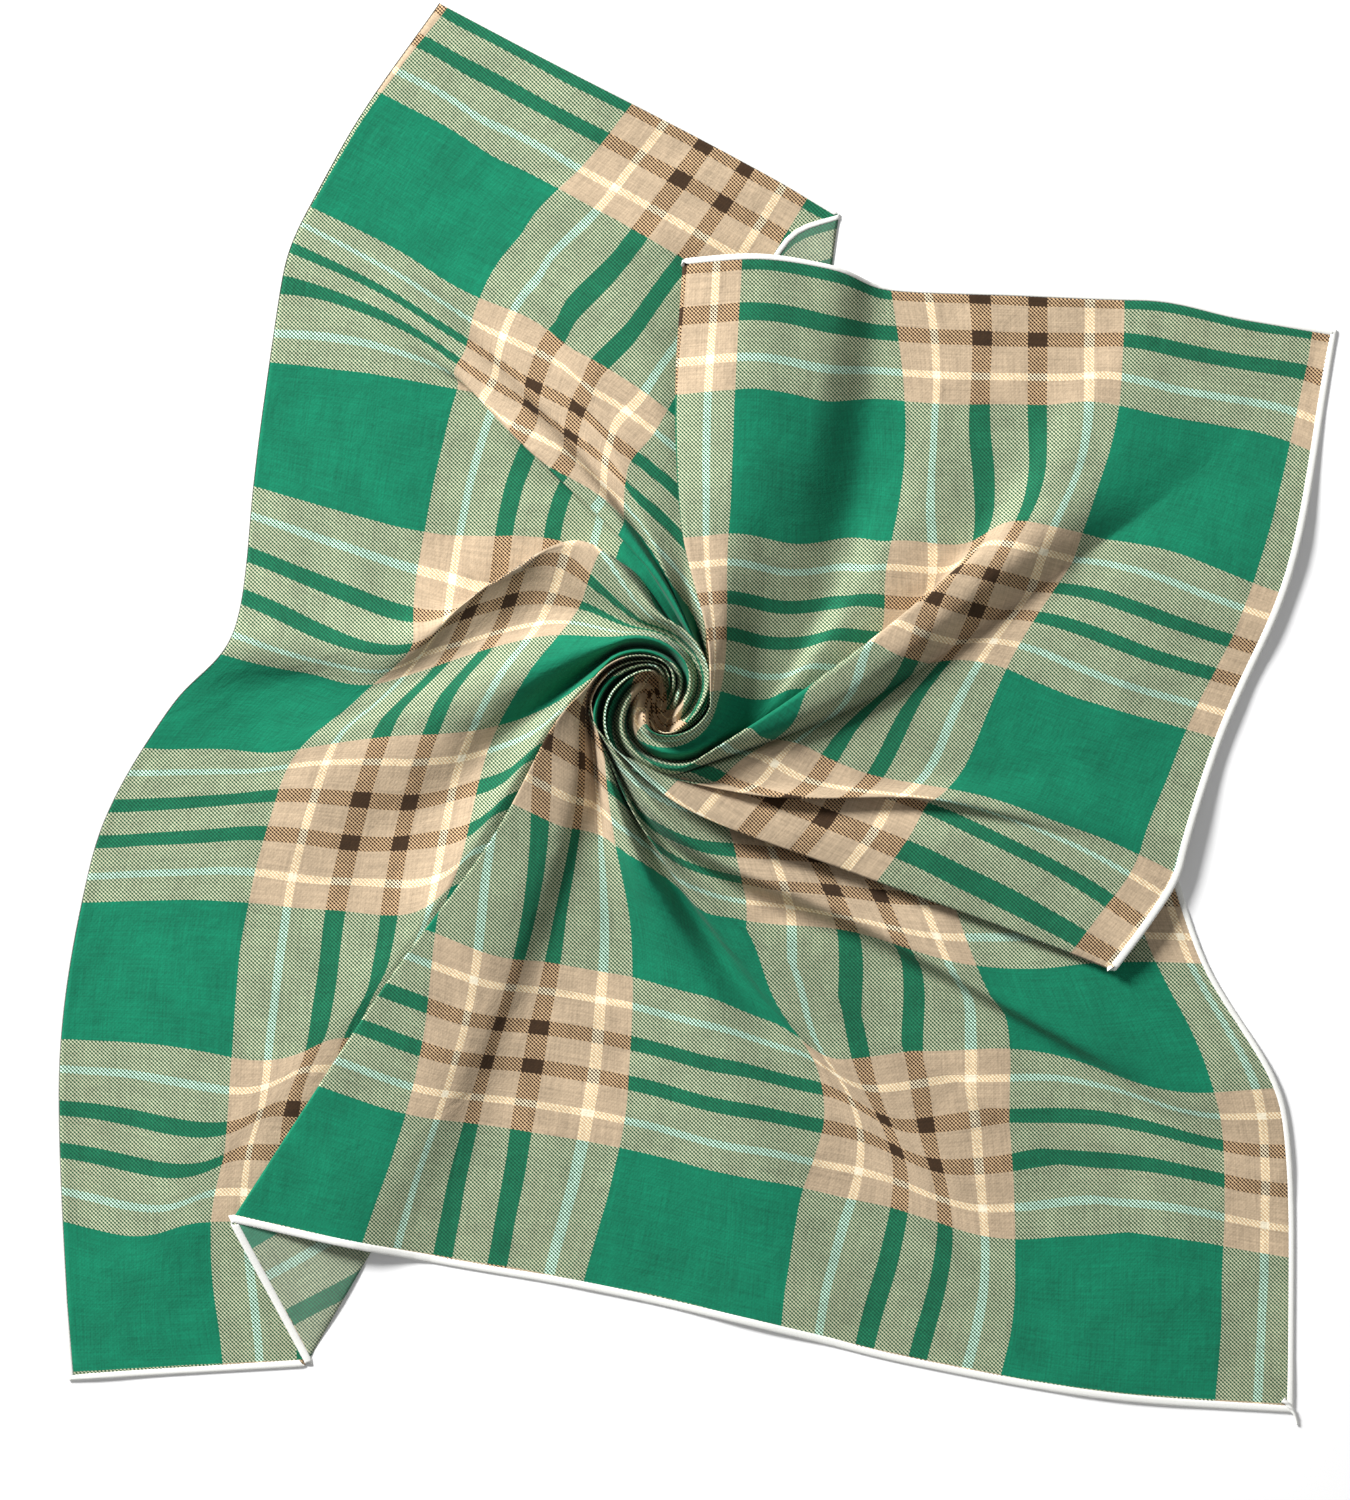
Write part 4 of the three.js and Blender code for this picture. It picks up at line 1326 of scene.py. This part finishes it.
@dataclass
class ThreadTail:
    """The clipped end of the overlock thread at the bottom right corner."""

    start: tuple[float, float, float] = (244.0, -272.0, 1.2)
    middle: tuple[float, float, float] = (249.0, -276.0, 1.2)
    end: tuple[float, float, float] = (249.6, -281.8, 0.6)
    thickness: float = 2.1
    tip: float = 0.7
    strand_relief: float = 0.18
    twist: float = 2.0
    clearance: float = 0.05
    stations: int = 36
    sides: int = 12

    def build(self, offset: np.ndarray) -> bpy.types.Object:
        """Makes the tail.

        Args:
            offset: Place of the twist's centre in the frame, in millimetres.

        Returns:
            The tail.
        """
        t = np.linspace(0, 1, self.stations)[:, None]
        a, b, c = (np.array(point) for point in (self.start, self.middle, self.end))
        line = (1 - t) ** 2 * a + 2 * t * (1 - t) * b + t**2 * c
        forward = np.gradient(line, axis=0)
        side = np.stack([-forward[:, 1], forward[:, 0], np.zeros(self.stations)], -1)
        side /= np.linalg.norm(side, axis=1, keepdims=True)
        angle = np.linspace(0, 2 * math.pi, self.sides, endpoint=False)[None, :]
        strands = 1 + self.strand_relief * np.cos(2 * angle + 2 * math.pi * self.twist * t * 2)
        radius = (self.thickness + (self.tip - self.thickness) * t) / 2 * strands
        flat = side[:, None] * (radius * np.cos(angle))[..., None]
        upright = np.array([0.0, 0.0, 1.0]) * (radius * np.sin(angle))[..., None]
        points = (line[:, None] + flat + upright).reshape(-1, 3)
        points[:, 2] = np.maximum(points[:, 2], self.clearance)
        here = np.arange(self.stations - 1)[:, None] * self.sides + np.arange(self.sides)[None, :]
        beside = (here // self.sides) * self.sides + (here + 1) % self.sides
        quads = np.stack([here, here + self.sides, beside + self.sides, beside], -1).reshape(-1, 4)
        last = (self.stations - 1) * self.sides
        caps = [list(range(self.sides)), list(range(last, last + self.sides))[::-1]]
        return new_mesh("thread_tail", (points + offset) * MM, quads.tolist() + caps)

    def dress(self, piece: bpy.types.Object) -> None:
        """Puts the thread on the tail and says what the piece is.

        Args:
            piece: The tail.
        """
        piece.data.materials.append(OverlockThread().build())
        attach(piece, "root")


@dataclass(frozen=True)
class Lamp:
    """A round soft lamp, in metres and watts."""

    name: str
    place: tuple[float, float, float]
    size: float
    watts: float


@dataclass
class Studio:
    """A plain pale floor, soft light from the upper left and a camera straight overhead.

    The photo's sizes, the camera's height and its lens are millimetres, and the rest metres.
    """

    key: Lamp = Lamp("key_light", (-1.7, 1.5, 1.3), 0.8, 146.0)
    fill: Lamp = Lamp("fill_light", (1.6, -0.6, 2.2), 2.0, 10.0)
    room_colour: str = "#ffffff"
    room_light: float = 0.23
    photo_height: float = 585.0
    photo_middle: tuple[float, float] = (7.0, -18.7)
    camera_height: float = 2600.0
    lens: float = 100.0
    farthest: float = 20.0
    floor_size: float = 6.0

    def build(self, offset: np.ndarray) -> None:
        """Sets up the floor, the light and the camera.

        Args:
            offset: Place of the twist's centre in the frame, in millimetres.
        """
        self.lay_floor()
        self.hang(self.key)
        self.hang(self.fill)
        world = bpy.data.worlds.new("pale_room")
        world.use_nodes = True
        background = world.node_tree.nodes["Background"]
        background.inputs["Color"].default_value = linear_colour(self.room_colour)
        background.inputs["Strength"].default_value = self.room_light
        bpy.context.scene.world = world
        bpy.context.scene.view_settings.view_transform = "Standard"
        self.place_camera(offset)

    def lay_floor(self) -> None:
        """Makes the pale floor."""
        half = self.floor_size / 2
        corners = np.array([(-half, -half, 0), (half, -half, 0), (half, half, 0), (-half, half, 0)])
        floor = new_mesh("floor", corners, np.array([[0, 1, 2, 3]]))
        floor.data.materials.append(PaleCard().build())

    @staticmethod
    def hang(lamp: Lamp) -> None:
        """Adds a lamp that faces the cloth.

        Args:
            lamp: The lamp.
        """
        data = bpy.data.lights.new(lamp.name, "AREA")
        data.shape = "DISK"
        data.size = lamp.size
        data.energy = lamp.watts
        hung = bpy.data.objects.new(lamp.name, data)
        hung.location = lamp.place
        hung.rotation_euler = Vector(lamp.place).to_track_quat("Z", "Y").to_euler()
        bpy.context.scene.collection.objects.link(hung)

    def place_camera(self, offset: np.ndarray) -> None:
        """Hangs the camera straight over the middle of the photographed view.

        Args:
            offset: Place of the twist's centre in the frame, in millimetres.
        """
        data = bpy.data.cameras.new("overhead_camera")
        data.lens = self.lens
        data.sensor_fit = "VERTICAL"
        data.sensor_height = self.lens * self.photo_height / self.camera_height
        data.clip_end = self.farthest
        camera = bpy.data.objects.new("overhead_camera", data)
        x = (self.photo_middle[0] + offset[0]) * MM
        y = (self.photo_middle[1] + offset[1]) * MM
        camera.location = (x, y, self.camera_height * MM)
        bpy.context.scene.collection.objects.link(camera)
        bpy.context.scene.camera = camera


def place_in_frame(sheet: BandanaSheet) -> np.ndarray:
    """Finds where the twist's centre is in the frame, from the solid cloth's box.

    Args:
        sheet: The shaped sheet.

    Returns:
        The centre's place in millimetres, with no height.
    """
    low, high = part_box(CLOTH_NODE)
    solid = (np.array(low) + np.array(high)) / 2 / MM
    hem = sheet.laid[:, -1]
    middle = (hem.min(0) + hem.max(0)) / 2
    return np.array([solid[0] - middle[0], solid[1] - middle[1], 0.0])


def main() -> None:
    """Builds the bandana and its setting."""
    logging.basicConfig(level=logging.INFO, format="%(message)s")
    sheet = BandanaSheet()
    sheet.shape()
    offset = place_in_frame(sheet)
    cloth = sheet.build(offset)
    sheet.dress(cloth)
    LOG.info("printed cloth: %d faces, twist at %s mm", len(cloth.data.polygons), offset.round(1))
    edge = OverlockedEdge()
    band = edge.build(sheet, offset)
    edge.dress(band)
    LOG.info("overlocked edge: %d faces", len(band.data.polygons))
    tail = ThreadTail()
    end = tail.build(offset)
    tail.dress(end)
    LOG.info("thread tail: %d faces", len(end.data.polygons))
    Studio().build(offset)


if __name__ == "__main__":
    main()
